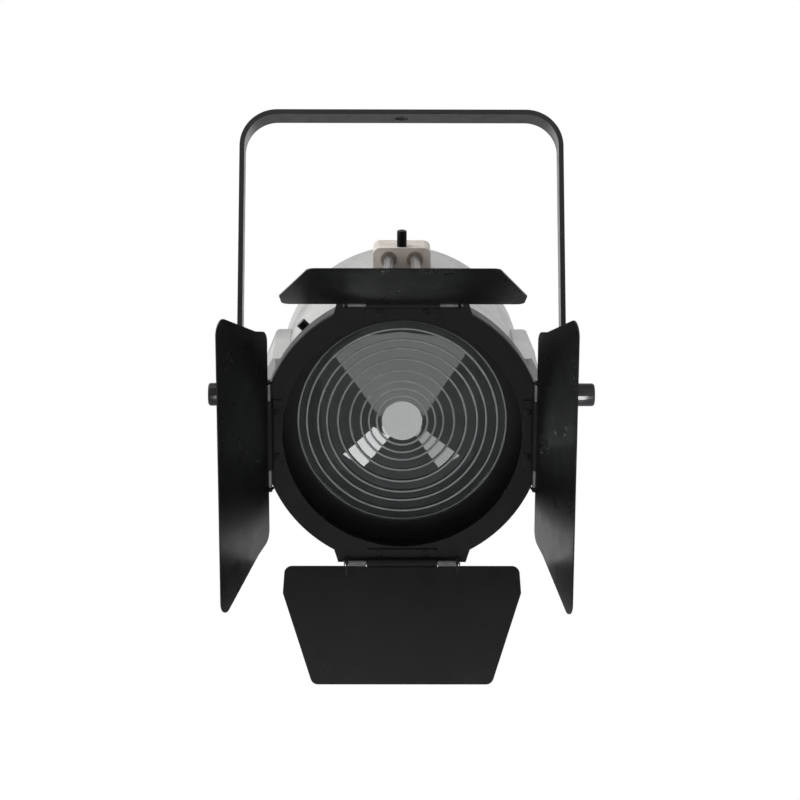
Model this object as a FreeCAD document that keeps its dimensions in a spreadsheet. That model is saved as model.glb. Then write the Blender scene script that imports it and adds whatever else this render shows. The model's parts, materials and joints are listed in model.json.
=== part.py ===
"""Hanging theatre Fresnel spotlight: yoke, tilting head, top focus slide and a turning four-leaf barn door.

The row frame is millimetres with +Z up. Its origin is the centre of the yoke's hanging hole, on the top
face of the bar, and the lamp's front faces -Y. The head is modelled level, about the tilt axis: X to the
right, forward along -Y and Z up. One placement then drops it to the tilt axis and tips it nose-down.
"""
import FreeCAD, Part
import math
import os
import re

import Sketcher
from FreeCAD import Placement, Rotation, Vector

# Driving sizes in millimetres and degrees. "forward" is measured along the lens axis from the tilt axis.
SIZES = {
    # clearances
    "clear_gap": 0.3,
    "seat_gap": 0.1,
    "running_gap": 0.05,
    "close_gap": 0.02,
    # how far a cut runs past what it cuts
    "overrun": 5.0,
    # yoke
    "lamp_drop": 292.3,
    "rest_tilt": 28.0,
    "yoke_width": 328.5,
    "strip_width": 31.0,
    "strip_thick": 5.0,
    "yoke_corner": 38.0,
    "hanging_hole": 6.5,
    "leg_land": 0.5,
    # tilt pivot, on the X axis
    "stud_radius": 5.0,
    "stud_root_gap": 3.0,
    "hub_radius": 15.5,
    "disc_radius": 16.5,
    "disc_thick": 2.0,
    "washer_radius": 10.5,
    "washer_thick": 1.6,
    "knob_radius": 11.5,
    "knob_length": 27.0,
    "knob_wall": 4.0,
    "knob_groove": 1.0,
    # grey housing
    "housing_radius": 123.0,
    "housing_wall": 2.0,
    "housing_back": 116.0,
    "housing_front": 111.0,
    "cap_depth": 26.0,
    "cap_round": 22.0,
    "cap_lip": 10.0,
    "vent_inset": 63.0,
    "vent_overlap": 8.0,
    "vent_thick": 1.5,
    "vent_hole": 2.6,
    "vent_pitch": 11.0,
    "floor_vent_width": 6.0,
    "floor_vent_length": 60.0,
    "floor_vent_pitch": 16.0,
    "cheek_rise": 15.0,
    "cheek_top_rise": 3.0,
    "cheek_bulge": 2.0,
    "cheek_wall": 2.5,
    "cheek_boss": 14.0,
    "cheek_half_height": 54.0,
    "cheek_flat": 20.0,
    "cheek_back_gap": 66.0,
    "cheek_front": 58.0,
    "cheek_root": 22.0,
    "cheek_back_slope": 30.0,
    "cheek_front_slope": 12.0,
    # black front barrel
    "barrel_step": 11.5,
    "barrel_wall": 2.5,
    "barrel_back": 105.0,
    "barrel_front": 127.0,
    "lip_width": 6.2,
    # lens and what holds it
    "lens_radius": 104.5,
    "lens_rim": 4.0,
    "lens_centre": 31.4,
    "lens_back": 79.5,
    "lens_thick": 8.0,
    "lens_step": 3.2,
    "lens_crown": 2.0,
    "bezel_lap": 3.5,
    "bezel_thick": 2.5,
    "skirt_thick": 2.4,
    "skirt_length": 10.0,
    "gasket_width": 6.5,
    "gasket_thick": 1.5,
    "seat_width": 9.5,
    "seat_thick": 2.0,
    "clip_radius": 3.6,
    # catch that holds the lens bezel, on a radius up and to the left
    "catch_angle": 45.0,
    "catch_setback": 5.6,
    "catch_pin": 3.0,
    "catch_pin_depth": 1.0,
    "catch_knob": 5.0,
    "catch_rise": 15.0,
    # focus slide on top of the housing
    "rod_radius": 5.0,
    "rod_spread": 13.0,
    "rod_rise": 11.5,
    "rod_front": 57.0,
    "rod_back_gap": 46.0,
    "support_half_width": 21.0,
    "support_rise": 16.5,
    "support_depth": 8.0,
    "slider_width": 57.0,
    "slider_rise": 23.0,
    "slider_front": -18.0,
    "slider_depth": 34.0,
    "slider_round": 7.0,
    "bush_outer": 8.0,
    "bush_length": 9.0,
    "bush_proud": 1.5,
    "focus_forward": 60.0,
    "focus_back": 5.0,
    "neck_half_width": 7.0,
    "neck_depth": 20.0,
    "neck_inset": 7.0,
    "slot_gap": 1.0,
    "lock_radius": 4.9,
    "lock_forward": -26.0,
    "lock_rise": 16.2,
    "lock_sink": 8.0,
    # lamp carriage inside
    "sled_inset": 19.0,
    "sled_thick": 3.0,
    "sled_half_width": 40.0,
    "sled_front": 0.0,
    "hanger_half_width": 26.0,
    "hanger_bottom": 66.0,
    "holder_radius": 17.0,
    "holder_height": 22.0,
    "lamp_forward": -34.0,
    "bulb_radius": 12.0,
    "bulb_height": 62.0,
    "bulb_wall": 1.5,
    "bulb_pinch": 12.0,
    "filament_radius": 3.0,
    "filament_post": 1.0,
    "filament_height": 14.0,
    "dish_radius": 58.0,
    "dish_thick": 1.5,
    "dish_angle": 38.0,
    "dish_stem": 5.0,
    # turning barn-door ring
    "ring_plate_inset": 0.5,
    "ring_plate_width": 20.0,
    "ring_plate_thick": 2.5,
    "ring_tube_wall": 2.3,
    "keeper_gap": 0.5,
    "keeper_width": 12.5,
    "keeper_thick": 2.5,
    "lug_base_inset": 19.5,
    "upright_lug_base_half": 66.0,
    "upright_lug_tip_half": 61.5,
    "upright_lug_inset": 4.8,
    "side_lug_base_half": 50.0,
    "side_lug_tip_half": 46.0,
    "side_lug_inset": 7.0,
    # leaf hinges
    "pin_radius": 1.5,
    "pin_rise": 5.0,
    "pin_inset": 1.0,
    "pin_end": 56.0,
    "pin_head": 2.6,
    "pin_head_length": 1.2,
    "bracket_half": 34.0,
    "bracket_barrel": 4.0,
    "bracket_foot": 12.5,
    "bracket_foot_thick": 2.0,
    "bracket_screw_spread": 22.0,
    "bracket_screw_edge": 4.5,
    "ear_start": 52.0,
    "ear_thick": 2.0,
    "ear_radius": 3.3,
    "ear_length": 12.0,
    # leaves
    "sheet_thick": 1.2,
    "notch_side_gap": 1.5,
    "notch_end_gap": 1.0,
    "flare_length": 26.5,
    "panel_length": 87.5,
    "upright_hinge_half": 112.9,
    "upright_flare_half": 114.5,
    "upright_far_half": 85.5,
    "upright_corner": 7.5,
    "side_hinge_half": 103.0,
    "side_flare_half": 110.0,
    "side_far_half": 147.0,
    "side_corner": 13.0,
    "top_open_angle": 30.5,
    "bottom_open_angle": 60.8,
    "left_open_angle": 20.6,
    "right_open_angle": 14.7,
    # power inlet gland, safety eye, terminal block
    "gland_radius": 9.0,
    "gland_bore": 4.5,
    "gland_length": 16.0,
    "gland_root": 6.0,
    "gland_collar": 3.0,
    "gland_inset": 43.0,
    "eye_radius": 9.0,
    "eye_wire": 2.5,
    "eye_inset": 39.0,
    "eye_neck": 3.0,
    "terminal_width": 44.0,
    "terminal_depth": 18.0,
    "terminal_height": 14.0,
    "terminal_setback": 4.0,
    # screws
    "screw_radius": 2.0,
    "screw_head": 3.6,
    "screw_head_height": 1.5,
    "cap_screw_inset": 35.0,
    "cap_screw_length": 7.0,
    "frame_margin": 8.0,
    "frame_thick": 2.0,
}

CLIP_ANGLES = (90, 210, 330)
CAP_SCREWS = 6
FLOOR_VENTS = 4
VENT_RINGS = 4
LENS_RINGS = 7
KNOB_GROOVES = 4

# Radii and distances that several pieces share.
BARREL = "(housing_radius + barrel_step)"
LIP_INNER = f"({BARREL} - lip_width)"
CHEEK_OUT = "(housing_radius + cheek_rise)"
CHEEK_TOP = "(housing_radius + cheek_top_rise)"
VENT_RADIUS = "(housing_radius - vent_inset)"
CHEEK_BACK = "(housing_back - cheek_back_gap)"
LENS_FRONT = "lens_back + lens_thick"
BEZEL_BACK = f"{LENS_FRONT} + lens_crown + seat_gap"
CATCH_FORWARD = f"({BEZEL_BACK} - catch_setback)"
ROD_HEIGHT = "(housing_radius + rod_rise)"
ROD_BACK = "(housing_back - rod_back_gap)"
SLIDER_TOP = "(housing_radius + slider_rise)"
SLED_TOP = "(housing_radius - sled_inset)"
CAP_SCREW_CIRCLE = "(housing_radius - cap_screw_inset)"
GLAND_DROP = "(housing_radius - gland_inset)"
EYE_UP = "(housing_radius - eye_inset)"

os.makedirs("parts", exist_ok=True)
doc = FreeCAD.newDocument("fresnel_spotlight")
sheet = doc.addObject("Spreadsheet::Sheet", "sizes")
for row, (alias, number) in enumerate(SIZES.items(), start=1):
    sheet.set(f"A{row}", alias)
    sheet.set(f"B{row}", str(number))
    sheet.setAlias(f"B{row}", alias)
doc.recompute()

gauge = doc.addObject("App::FeaturePython", "gauge")
gauge.addProperty("App::PropertyFloat", "Reading")
PARTS = []


# --- helpers ------------------------------------------------------------------------------------------


def size(alias):
    """The number in one cell of the sheet."""
    return float(sheet.get(alias))


def value(text):
    """The number that an expression comes to, read from a property that is bound to it."""
    bind(gauge, Reading=text)
    gauge.recompute()
    return gauge.Reading


def linked(text):
    """An expression in which each size's name points at its cell."""
    return re.sub(r"[a-z][a-z_]+", lambda m: f"sizes.{m[0]}" if m[0] in SIZES else m[0], str(text))


def bind(thing, **cells):
    """Binds properties to expressions; a double underscore in a name stands for a dot."""
    for name, text in cells.items():
        thing.setExpression(name.replace("__", "."), linked(text))


def keep(thing, label, placement):
    """Makes a finished object one of the named sub-parts."""
    thing.Label = label
    thing.Placement = placement
    PARTS.append(thing)
    return thing


def level():
    """The head's placement: dropped to the tilt axis and tipped nose-down about it."""
    tilt = Rotation(Vector(1, 0, 0), size("rest_tilt"))
    return Placement(Vector(0, 0, -size("lamp_drop")), tilt)


def plane(body, role):
    """One of a body's own origin planes."""
    return next(f for f in body.Origin.OriginFeatures if f.Role == role)


def new_sketch(body, role, offset="0"):
    """A sketch on one of the body's origin planes, moved along the plane's normal."""
    sketch = body.newObject("Sketcher::SketchObject", "Sketch")
    sketch.AttachmentSupport = [(plane(body, role), "")]
    sketch.MapMode = "FlatFace"
    bind(sketch, AttachmentOffset__Base__z=offset)
    return sketch


def outline(sketch, points):
    """A closed polygon whose corners are held by expressions, counted from the sketch's origin."""
    first = sketch.GeometryCount
    count = len(points)
    for i in range(count):
        start = Vector(math.cos(6.28 * i / count), math.sin(6.28 * i / count), 0) * 50
        angle = 6.28 * ((i + 1) % count) / count
        end = Vector(math.cos(angle), math.sin(angle), 0) * 50
        sketch.addGeometry(Part.LineSegment(start, end), False)
    for i in range(count):
        after = first + (i + 1) % count
        sketch.addConstraint(Sketcher.Constraint("Coincident", first + i, 2, after, 1))
    for i, corner in enumerate(points):
        for kind, text in zip(("DistanceX", "DistanceY"), corner):
            index = sketch.addConstraint(Sketcher.Constraint(kind, -1, 1, first + i, 1, 1.0))
            sketch.setExpression(f"Constraints[{index}]", linked(text))


def circle(sketch, radius, across="0", up="0"):
    """A circle held by expressions."""
    index = sketch.addGeometry(Part.Circle(Vector(1, 1, 0), Vector(0, 0, 1), 3.0), False)
    sketch.setExpression(f"Constraints[{sketch.addConstraint(Sketcher.Constraint('Radius', index, 3.0))}]",
                         linked(radius))
    for kind, text in (("DistanceX", across), ("DistanceY", up)):
        held = sketch.addConstraint(Sketcher.Constraint(kind, -1, 1, index, 3, 1.0))
        sketch.setExpression(f"Constraints[{held}]", linked(text))


def pad(body, sketch, length, both=False):
    """Extrudes a sketch along its normal, or evenly both ways."""
    made = body.newObject("PartDesign::Pad", "Pad")
    made.Profile = sketch
    made.SideType = "Symmetric" if both else "One side"
    bind(made, Length=length)
    sketch.Visibility = False
    return made


def pocket(body, sketch, length=None, backward=False):
    """Cuts all the way both ways, or for one length along or against the sketch's normal."""
    made = body.newObject("PartDesign::Pocket", "Pocket")
    made.Profile = sketch
    if length is None:
        made.Type = "ThroughAll"
        made.SideType = "Symmetric"
    else:
        made.Reversed = not backward
        bind(made, Length=length)
    return made


def revolve(body, sketch, axis, kind="Revolution"):
    """Turns a sketch, or cuts with it, about one of its own axes."""
    made = body.newObject(f"PartDesign::{kind}", kind)
    made.Profile = sketch
    made.ReferenceAxis = (sketch, [axis])
    made.Angle = 360.0
    return made


def round_edges(body, radius, test):
    """Fillets the edges of the body's tip that pass the test."""
    doc.recompute()
    base = body.Tip
    names = [f"Edge{i}" for i, e in enumerate(base.Shape.Edges, start=1) if test(e)]
    if not names:
        raise RuntimeError(f"{body.Label}: no edge to round")
    made = body.newObject("PartDesign::Fillet", "Fillet")
    made.Base = (base, names)
    bind(made, Radius=radius)
    return made


def new_body(label):
    """An empty body."""
    return doc.addObject("PartDesign::Body", label)


def forward_profile(points):
    """Profile points given as (radius, forward), written for a sketch on the XY plane."""
    return [(radius, f"-({forward})") for radius, forward in points]


TURN_ABOUT = {
    "forward": ("XY_Plane", "V_Axis"),
    "side": ("XY_Plane", "H_Axis"),
    "up": ("XZ_Plane", "V_Axis"),
}


def turned_body(label, about, points):
    """A turned piece: (radius, forward) points, (along X, radius) points or (radius, height) points."""
    body = new_body(label)
    role, axis = TURN_ABOUT[about]
    sketch = new_sketch(body, role)
    outline(sketch, forward_profile(points) if about == "forward" else points)
    revolve(body, sketch, axis)
    return body


def ring(inner, outer, back, front):
    """The four profile points of a plain ring."""
    return [(inner, back), (outer, back), (outer, front), (inner, front)]


def vertical_edge(edge, axis):
    """Whether a straight edge runs along an axis."""
    if len(edge.Vertexes) != 2 or edge.Curve.TypeId != "Part::GeomLine":
        return False
    step = edge.Vertexes[1].Point - edge.Vertexes[0].Point
    return abs(abs(step.normalize().dot(axis)) - 1) < 1e-6


def cylinder(radius, height, at, axis=Vector(0, 0, 1)):
    """A cylinder that stands on a point and runs along an axis."""
    made = doc.addObject("Part::Cylinder", "Cylinder")
    bind(made, Radius=radius, Height=height)
    made.Placement = Placement(at, Rotation(Vector(0, 0, 1), axis))
    return made


def fused(things):
    """Several overlapping pieces joined to one solid."""
    made = doc.addObject("Part::MultiFuse", "Fused")
    made.Shapes = things
    return made


def group(label, things, placement):
    """Several like solids that share one node."""
    made = doc.addObject("Part::Compound", label)
    made.Links = things
    return keep(made, label, placement)


def screw(at, axis, length):
    """A round-headed screw: its head stands on `at` and its shank runs back along the axis."""
    shank = cylinder("screw_radius", length, at - axis * size(length), axis)
    head = cylinder("screw_head", "screw_head_height", at, axis)
    return fused([shank, head])


def radial(angle, distance, forward):
    """A point of the head: its angle from +X towards +Z, its distance from the lens axis, and forward."""
    turn = math.radians(angle)
    return Vector(math.cos(turn) * distance, -forward, math.sin(turn) * distance)


def catch_rod(radius, start, end):
    """A cylinder along the catch's own radius, between two distances from the lens axis."""
    angle = 90 + size("catch_angle")
    made = doc.addObject("Part::Cylinder", "CatchRod")
    bind(made, Radius=radius, Height=f"{end} - ({start})")
    made.Placement = Placement(radial(angle, value(start), value(CATCH_FORWARD)),
                               Rotation(Vector(0, 0, 1), radial(angle, 1, 0)))
    return made


def catch_bored(body):
    """The piece with the hole through which the catch's pin runs."""
    made = doc.addObject("Part::Cut", "Bored")
    made.Base = body
    start = f"{SHELL_INNER} - skirt_thick - overrun"
    made.Tool = catch_rod("catch_pin + clear_gap", start, "housing_radius + overrun")
    return made


# --- yoke ---------------------------------------------------------------------------------------------

ROOT = Placement()
HEAD = level()


def yoke_bracket():
    """A flat bar bent to an inverted U, with the hanging hole and two pivot holes."""
    body = new_body("yoke_bracket")
    sketch = new_sketch(body, "XZ_Plane")
    out, inside = "yoke_width / 2", "yoke_width / 2 - strip_thick"
    foot = "-(lamp_drop + strip_width / 2)"
    outline(sketch, [(f"-({out})", foot), (f"-({out})", "0"), (out, "0"), (out, foot),
                     (inside, foot), (inside, "-strip_thick"), (f"-({inside})", "-strip_thick"),
                     (f"-({inside})", foot)])
    pad(body, sketch, "strip_width", both=True)
    along_y, along_x = Vector(0, 1, 0), Vector(1, 0, 0)
    half = size("yoke_width") / 2
    bar = -size("strip_thick") - 1

    def outer_corner(e):
        p = e.Vertexes[0].Point
        return vertical_edge(e, along_y) and p.z > -0.01 and abs(p.x) > half - 0.01

    def inner_corner(e):
        p = e.Vertexes[0].Point
        return vertical_edge(e, along_y) and bar < p.z < -0.01 and abs(p.x) < half - 1

    def foot_corner(e):
        p = e.Vertexes[0].Point
        return vertical_edge(e, along_x) and p.z < -size("lamp_drop")

    round_edges(body, "yoke_corner", outer_corner)
    round_edges(body, "yoke_corner - strip_thick", inner_corner)
    round_edges(body, "strip_width / 2 - leg_land", foot_corner)
    hole = new_sketch(body, "XY_Plane")
    circle(hole, "hanging_hole")
    pocket(body, hole, "strip_thick + 1", backward=True)
    pivots = new_sketch(body, "YZ_Plane")
    circle(pivots, "stud_radius + clear_gap", "0", "-lamp_drop")
    pocket(body, pivots)
    return keep(body, "yoke_bracket", ROOT)


def friction_discs():
    """Friction discs between each pivot hub and its yoke leg."""
    made = []
    for side in (1, -1):
        at = Vector(side * (size("yoke_width") / 2 - size("strip_thick")), 0, 0)
        axis = Vector(-side, 0, 0)
        disc = doc.addObject("Part::Cut", "Disc")
        disc.Base = cylinder("disc_radius", "disc_thick", at, axis)
        disc.Tool = cylinder("stud_radius + clear_gap", "disc_thick", at, axis)
        made.append(disc)
    return group("friction_discs", made, Placement(Vector(0, 0, -size("lamp_drop")), Rotation()))


def knob_washers():
    """Plain washers between each yoke leg and its tilt knob."""
    made = []
    for side in (1, -1):
        at = Vector(side * size("yoke_width") / 2, 0, 0)
        axis = Vector(side, 0, 0)
        washer = doc.addObject("Part::Cut", "Washer")
        washer.Base = cylinder("washer_radius", "washer_thick", at, axis)
        washer.Tool = cylinder("stud_radius + clear_gap", "washer_thick", at, axis)
        made.append(washer)
    return group("knob_washers", made, Placement(Vector(0, 0, -size("lamp_drop")), Rotation()))


# --- tilt pivot ---------------------------------------------------------------------------------------

LEG_OUT = "yoke_width / 2"
LEG_IN = "yoke_width / 2 - strip_thick"
KNOB_START = f"{LEG_OUT} + washer_thick + seat_gap"
STUD_END = f"{KNOB_START} + knob_length - knob_wall"
HUB_END = f"{LEG_IN} - disc_thick - seat_gap"
OTHER_SIDE = {"right": HEAD, "left": HEAD.multiply(Placement(Vector(), Rotation(Vector(0, 1, 0), 180)))}


def tilt_knob(side):
    """A round hand knob with shallow grip grooves and a blind bore for the stud."""
    start, end = KNOB_START, f"{KNOB_START} + knob_length"
    body = turned_body(f"tilt_knob_{side}", "side", [
        (start, "stud_radius + running_gap"), (start, "knob_radius"), (end, "knob_radius"), (end, "0"),
        (f"{STUD_END} + clear_gap", "0"), (f"{STUD_END} + clear_gap", "stud_radius + running_gap")])
    for index in range(KNOB_GROOVES):
        place = f"{start} + knob_length * {index + 2} / {KNOB_GROOVES + 4}"
        groove = new_sketch(body, "XY_Plane")
        past, floor = f"{place} + knob_groove", "knob_radius - knob_groove"
        rim = "knob_radius + overrun"
        outline(groove, [(place, floor), (past, floor), (past, rim), (place, rim)])
        revolve(body, groove, "H_Axis", "Groove")
    return keep(body, f"tilt_knob_{side}", OTHER_SIDE[side])


def pivot_hub(side):
    """A turned spacer that stands the yoke leg off the cheek."""
    body = turned_body(f"pivot_hub_{side}", "side", [
        (CHEEK_OUT, "stud_radius + close_gap"), (CHEEK_OUT, "hub_radius"),
        (HUB_END, "hub_radius"), (HUB_END, "stud_radius + close_gap")])
    return keep(body, f"pivot_hub_{side}", OTHER_SIDE[side])


def pivot_studs():
    """Studs fixed in the cheeks, on which the head tilts and the knobs turn."""
    made = []
    root = "(housing_radius + stud_root_gap)"
    for side in (1, -1):
        stud = doc.addObject("Part::Cylinder", "Stud")
        bind(stud, Radius="stud_radius", Height=f"{STUD_END} - {root}")
        stud.Placement = Placement(Vector(side * value(root), 0, 0),
                                   Rotation(Vector(0, 0, 1), Vector(side, 0, 0)))
        made.append(stud)
    return group("pivot_studs", made, HEAD)


# The neck that joins the slider to the sled, and the slot in which it travels.
NECK_FRONT = "slider_front - neck_inset"
NECK_BACK = f"{NECK_FRONT} - neck_depth"


# --- housing ------------------------------------------------------------------------------------------


def rear_housing():
    """The grey shell, with the focus neck's slot in its top, vents in its floor and the catch's hole."""
    body = turned_body("shell_blank", "forward", ring(
        "housing_radius - housing_wall", "housing_radius", "-housing_back", "housing_front"))
    slot = new_sketch(body, "XY_Plane")
    back = f"-({NECK_BACK} - focus_back - slot_gap)"
    front = f"-({NECK_FRONT} + focus_forward + slot_gap)"
    half = "neck_half_width + slot_gap"
    outline(slot, [(f"-({half})", back), (half, back), (half, front), (f"-({half})", front)])
    pocket(body, slot, "housing_radius + overrun")
    for index in range(FLOOR_VENTS):
        place = f"floor_vent_pitch * {index - (FLOOR_VENTS - 1) / 2}"
        vent = new_sketch(body, "XY_Plane")
        half = "floor_vent_length / 2"
        outline(vent, [(f"-({half})", place), (half, place), (half, f"{place} + floor_vent_width"),
                       (f"-({half})", f"{place} + floor_vent_width")])
        pocket(body, vent, "housing_radius + overrun", backward=True)
    return keep(catch_bored(body), "rear_housing", HEAD)


def cap_screw_holes(sketch):
    """The ring of screw holes shared by the cap and the vent frame."""
    for index in range(CAP_SCREWS):
        angle = 360 * index / CAP_SCREWS
        circle(sketch, "screw_radius + close_gap", f"{CAP_SCREW_CIRCLE} * cos({angle})",
               f"{CAP_SCREW_CIRCLE} * sin({angle})")


def rear_cap():
    """The domed back, with a lip that enters the shell and an opening for the vent grille."""
    back = "-(housing_back + cap_depth)"
    wall = "housing_wall"
    body = turned_body("rear_cap", "forward", [
        ("housing_radius", "-(housing_back + seat_gap)"), ("housing_radius", back),
        (VENT_RADIUS, back), (VENT_RADIUS, f"{back} + {wall}"),
        (f"housing_radius - {wall} - seat_gap - {wall}", f"{back} + {wall}"),
        (f"housing_radius - {wall} - seat_gap - {wall}", "-housing_back + cap_lip"),
        (f"housing_radius - {wall} - seat_gap", "-housing_back + cap_lip"),
        (f"housing_radius - {wall} - seat_gap", "-(housing_back + seat_gap)")])
    rim = size("housing_radius")
    far = size("housing_back") + size("cap_depth")

    def back_rim(e):
        p = e.Vertexes[0].Point
        return abs(math.hypot(p.x, p.z) - rim) < 0.01 and abs(p.y - far) < 0.01 and len(e.Vertexes) == 1

    def inner_rim(e):
        p = e.Vertexes[0].Point
        inner = rim - 2 * size("housing_wall") - size("seat_gap")
        return abs(math.hypot(p.x, p.z) - inner) < 0.01 and abs(p.y - far + size("housing_wall")) < 0.01

    round_edges(body, "cap_round", back_rim)
    round_edges(body, "cap_round - housing_wall", inner_rim)
    holes = new_sketch(body, "XZ_Plane")
    cap_screw_holes(holes)
    circle(holes, "gland_radius + close_gap", "0", f"-{GLAND_DROP}")
    pocket(body, holes)
    return keep(body, "rear_cap", HEAD)


CAP_FACE = "-(housing_back + cap_depth - housing_wall)"


def vent_grille():
    """A perforated disc behind the opening of the cap."""
    body = turned_body("vent_grille", "forward", ring(
        "0", f"{VENT_RADIUS} + vent_overlap", f"{CAP_FACE} + seat_gap",
        f"{CAP_FACE} + seat_gap + vent_thick"))
    holes = new_sketch(body, "XZ_Plane")
    for row_index in range(1, VENT_RINGS + 1):
        for index in range(6 * row_index):
            angle = 60 * index / row_index
            circle(holes, "vent_hole", f"vent_pitch * {row_index} * cos({angle})",
                   f"vent_pitch * {row_index} * sin({angle})")
    pocket(body, holes)
    return keep(body, "vent_grille", HEAD)


def vent_frame():
    """The ring that clamps the grille, drawn up by the cap's screws."""
    back = f"{CAP_FACE} + seat_gap * 2 + vent_thick"
    body = turned_body("vent_frame", "forward", ring(
        VENT_RADIUS, f"{CAP_SCREW_CIRCLE} + frame_margin", back, f"{back} + frame_thick"))
    holes = new_sketch(body, "XZ_Plane")
    cap_screw_holes(holes)
    circle(holes, "gland_radius + clear_gap", "0", f"-{GLAND_DROP}")
    pocket(body, holes)
    return keep(body, "vent_frame", HEAD)


def cap_screws():
    """The screws through the cap into the vent frame."""
    back = size("housing_back") + size("cap_depth")
    made = []
    for index in range(CAP_SCREWS):
        at = radial(360 * index / CAP_SCREWS, value(CAP_SCREW_CIRCLE), -back)
        made.append(screw(at, Vector(0, 1, 0), "cap_screw_length"))
    return group("cap_screws", made, HEAD)


def cheek_form(label, inset):
    """The fairing's outer form, or with an inset the space inside its wall."""
    body = new_body(label)
    back, front = f"({CHEEK_BACK} - {inset})", f"(cheek_front - {inset})"
    sketch = new_sketch(body, "XZ_Plane", f"-{back}")
    root, out, top = "housing_radius - cheek_root", f"({CHEEK_OUT} - {inset})", f"({CHEEK_TOP} - {inset})"
    mid = f"({out} + {top}) / 2 + cheek_bulge"
    high, flat = f"(cheek_half_height - {inset})", f"(cheek_flat - {inset})"
    outline(sketch, [(root, f"-{high}"), (top, f"-{high}"), (mid, f"-({high} + {flat}) / 2"),
                     (out, f"-{flat}"), (out, flat), (mid, f"({high} + {flat}) / 2"),
                     (top, high), (root, high)])
    pad(body, sketch, f"{back} + {front}")
    ends = new_sketch(body, "XY_Plane")
    for sign, end, slope in (("", back, "cheek_back_slope"), ("-", front, "cheek_front_slope")):
        tip, shoulder = f"{sign}({end} + clear_gap)", f"{sign}({end} - {slope})"
        outline(ends, [(f"{out} + overrun", tip), (f"{out} + overrun", shoulder), (out, shoulder),
                       (f"housing_radius - {inset}", tip)])
    pocket(body, ends)
    return body


def side_cheek(side):
    """A hollow grey fairing on the side of the shell, with a boss inside that takes the pivot's stud."""
    hollow = doc.addObject("Part::Cut", "CheekShell")
    hollow.Base = cheek_form("cheek_blank", "0")
    hollow.Tool = cheek_form("cheek_space", "cheek_wall")
    along_x = Vector(1, 0, 0)
    root = Vector(value("housing_radius - cheek_root"), 0, 0)
    boss = cylinder("cheek_boss", f"cheek_root + cheek_rise - cheek_wall / 2", root, along_x)
    bored = doc.addObject("Part::Cut", "CheekBored")
    bored.Base = fused([hollow, boss])
    bored.Tool = cylinder("stud_radius + close_gap", "cheek_root + cheek_rise + overrun", root, along_x)
    cheek = doc.addObject("Part::Cut", "Cheek")
    cheek.Base = bored
    far_back = Vector(0, value(f"{CHEEK_BACK} + overrun"), 0)
    cheek.Tool = cylinder("housing_radius + seat_gap", f"{CHEEK_BACK} + cheek_front + overrun * 2",
                          far_back, Vector(0, -1, 0))
    return keep(cheek, f"side_cheek_{side}", OTHER_SIDE[side])


def front_barrel():
    """The short black barrel: a back wall round the shell's front and a lip that keeps the turning ring."""
    wall = "barrel_wall"
    inner = f"{BARREL} - {wall}"
    body = turned_body("front_barrel", "forward", [
        ("housing_radius + seat_gap", "barrel_back"), (BARREL, "barrel_back"),
        (BARREL, "barrel_front"), (LIP_INNER, "barrel_front"),
        (LIP_INNER, f"barrel_front - {wall}"), (inner, f"barrel_front - {wall}"),
        (inner, f"barrel_back + {wall}"), ("housing_radius + seat_gap", f"barrel_back + {wall}")])
    return keep(body, "front_barrel", HEAD)


# --- lens and its holder ------------------------------------------------------------------------------

SHELL_INNER = "(housing_radius - housing_wall - seat_gap)"


def lens_bezel():
    """The front ring over the lens, with a skirt that fits the shell and takes the catch's pin."""
    skirt = f"{SHELL_INNER} - skirt_thick"
    front = f"{BEZEL_BACK} + bezel_thick"
    inner = "lens_radius - bezel_lap"
    body = turned_body("bezel_blank", "forward", [
        (inner, BEZEL_BACK), (skirt, BEZEL_BACK), (skirt, f"{BEZEL_BACK} - skirt_length"),
        (SHELL_INNER, f"{BEZEL_BACK} - skirt_length"), (SHELL_INNER, front), (inner, front)])
    return keep(catch_bored(body), "lens_bezel", HEAD)


def fresnel_lens():
    """A stepped lens: a crowned centre inside rings that each slope outward and step up again."""
    back, crest = size("lens_back"), size("lens_back") + size("lens_thick")
    low = crest - size("lens_step")
    centre, clear = size("lens_centre"), value("lens_radius - lens_rim")
    pitch = (clear - centre) / LENS_RINGS
    crown = crest + size("lens_crown")
    edges = [Part.LineSegment(Vector(0, -back, 0), Vector(0, -crown, 0)).toShape()]
    sagitta = crown - low
    radius = (centre ** 2 + sagitta ** 2) / (2 * sagitta)
    halfway = centre / 2
    drop = radius - math.sqrt(radius ** 2 - halfway ** 2)
    middle = Vector(halfway, -(crown - drop), 0)
    edges.append(Part.Arc(Vector(0, -crown, 0), middle, Vector(centre, -low, 0)).toShape())
    corners = [Vector(centre, -low, 0)]
    for index in range(LENS_RINGS):
        corners.append(Vector(centre + index * pitch, -crest, 0))
        corners.append(Vector(centre + (index + 1) * pitch, -low, 0))
    corners.append(Vector(size("lens_radius"), -low, 0))
    corners.append(Vector(size("lens_radius"), -back, 0))
    corners.append(Vector(0, -back, 0))
    for start, end in zip(corners, corners[1:]):
        edges.append(Part.LineSegment(start, end).toShape())
    face = Part.Face(Part.Wire(Part.__sortEdges__(edges)))
    lens = doc.addObject("Part::Feature", "fresnel_lens")
    lens.Shape = face.revolve(Vector(), Vector(0, 1, 0), 360)
    return keep(lens, "fresnel_lens", HEAD)


def lens_gasket():
    """The silicone ring between the lens and its seat."""
    body = turned_body("lens_gasket", "forward", ring(
        "lens_radius - gasket_width", "lens_radius", "lens_back - gasket_thick", "lens_back"))
    return keep(body, "lens_gasket", HEAD)


def lens_seat():
    """The plate behind the gasket, as wide as the bezel's skirt."""
    front = "lens_back - gasket_thick"
    body = turned_body("lens_seat", "forward", ring(
        "lens_radius - seat_width", SHELL_INNER, f"{front} - seat_thick", front))
    return keep(body, "lens_seat", HEAD)


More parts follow.
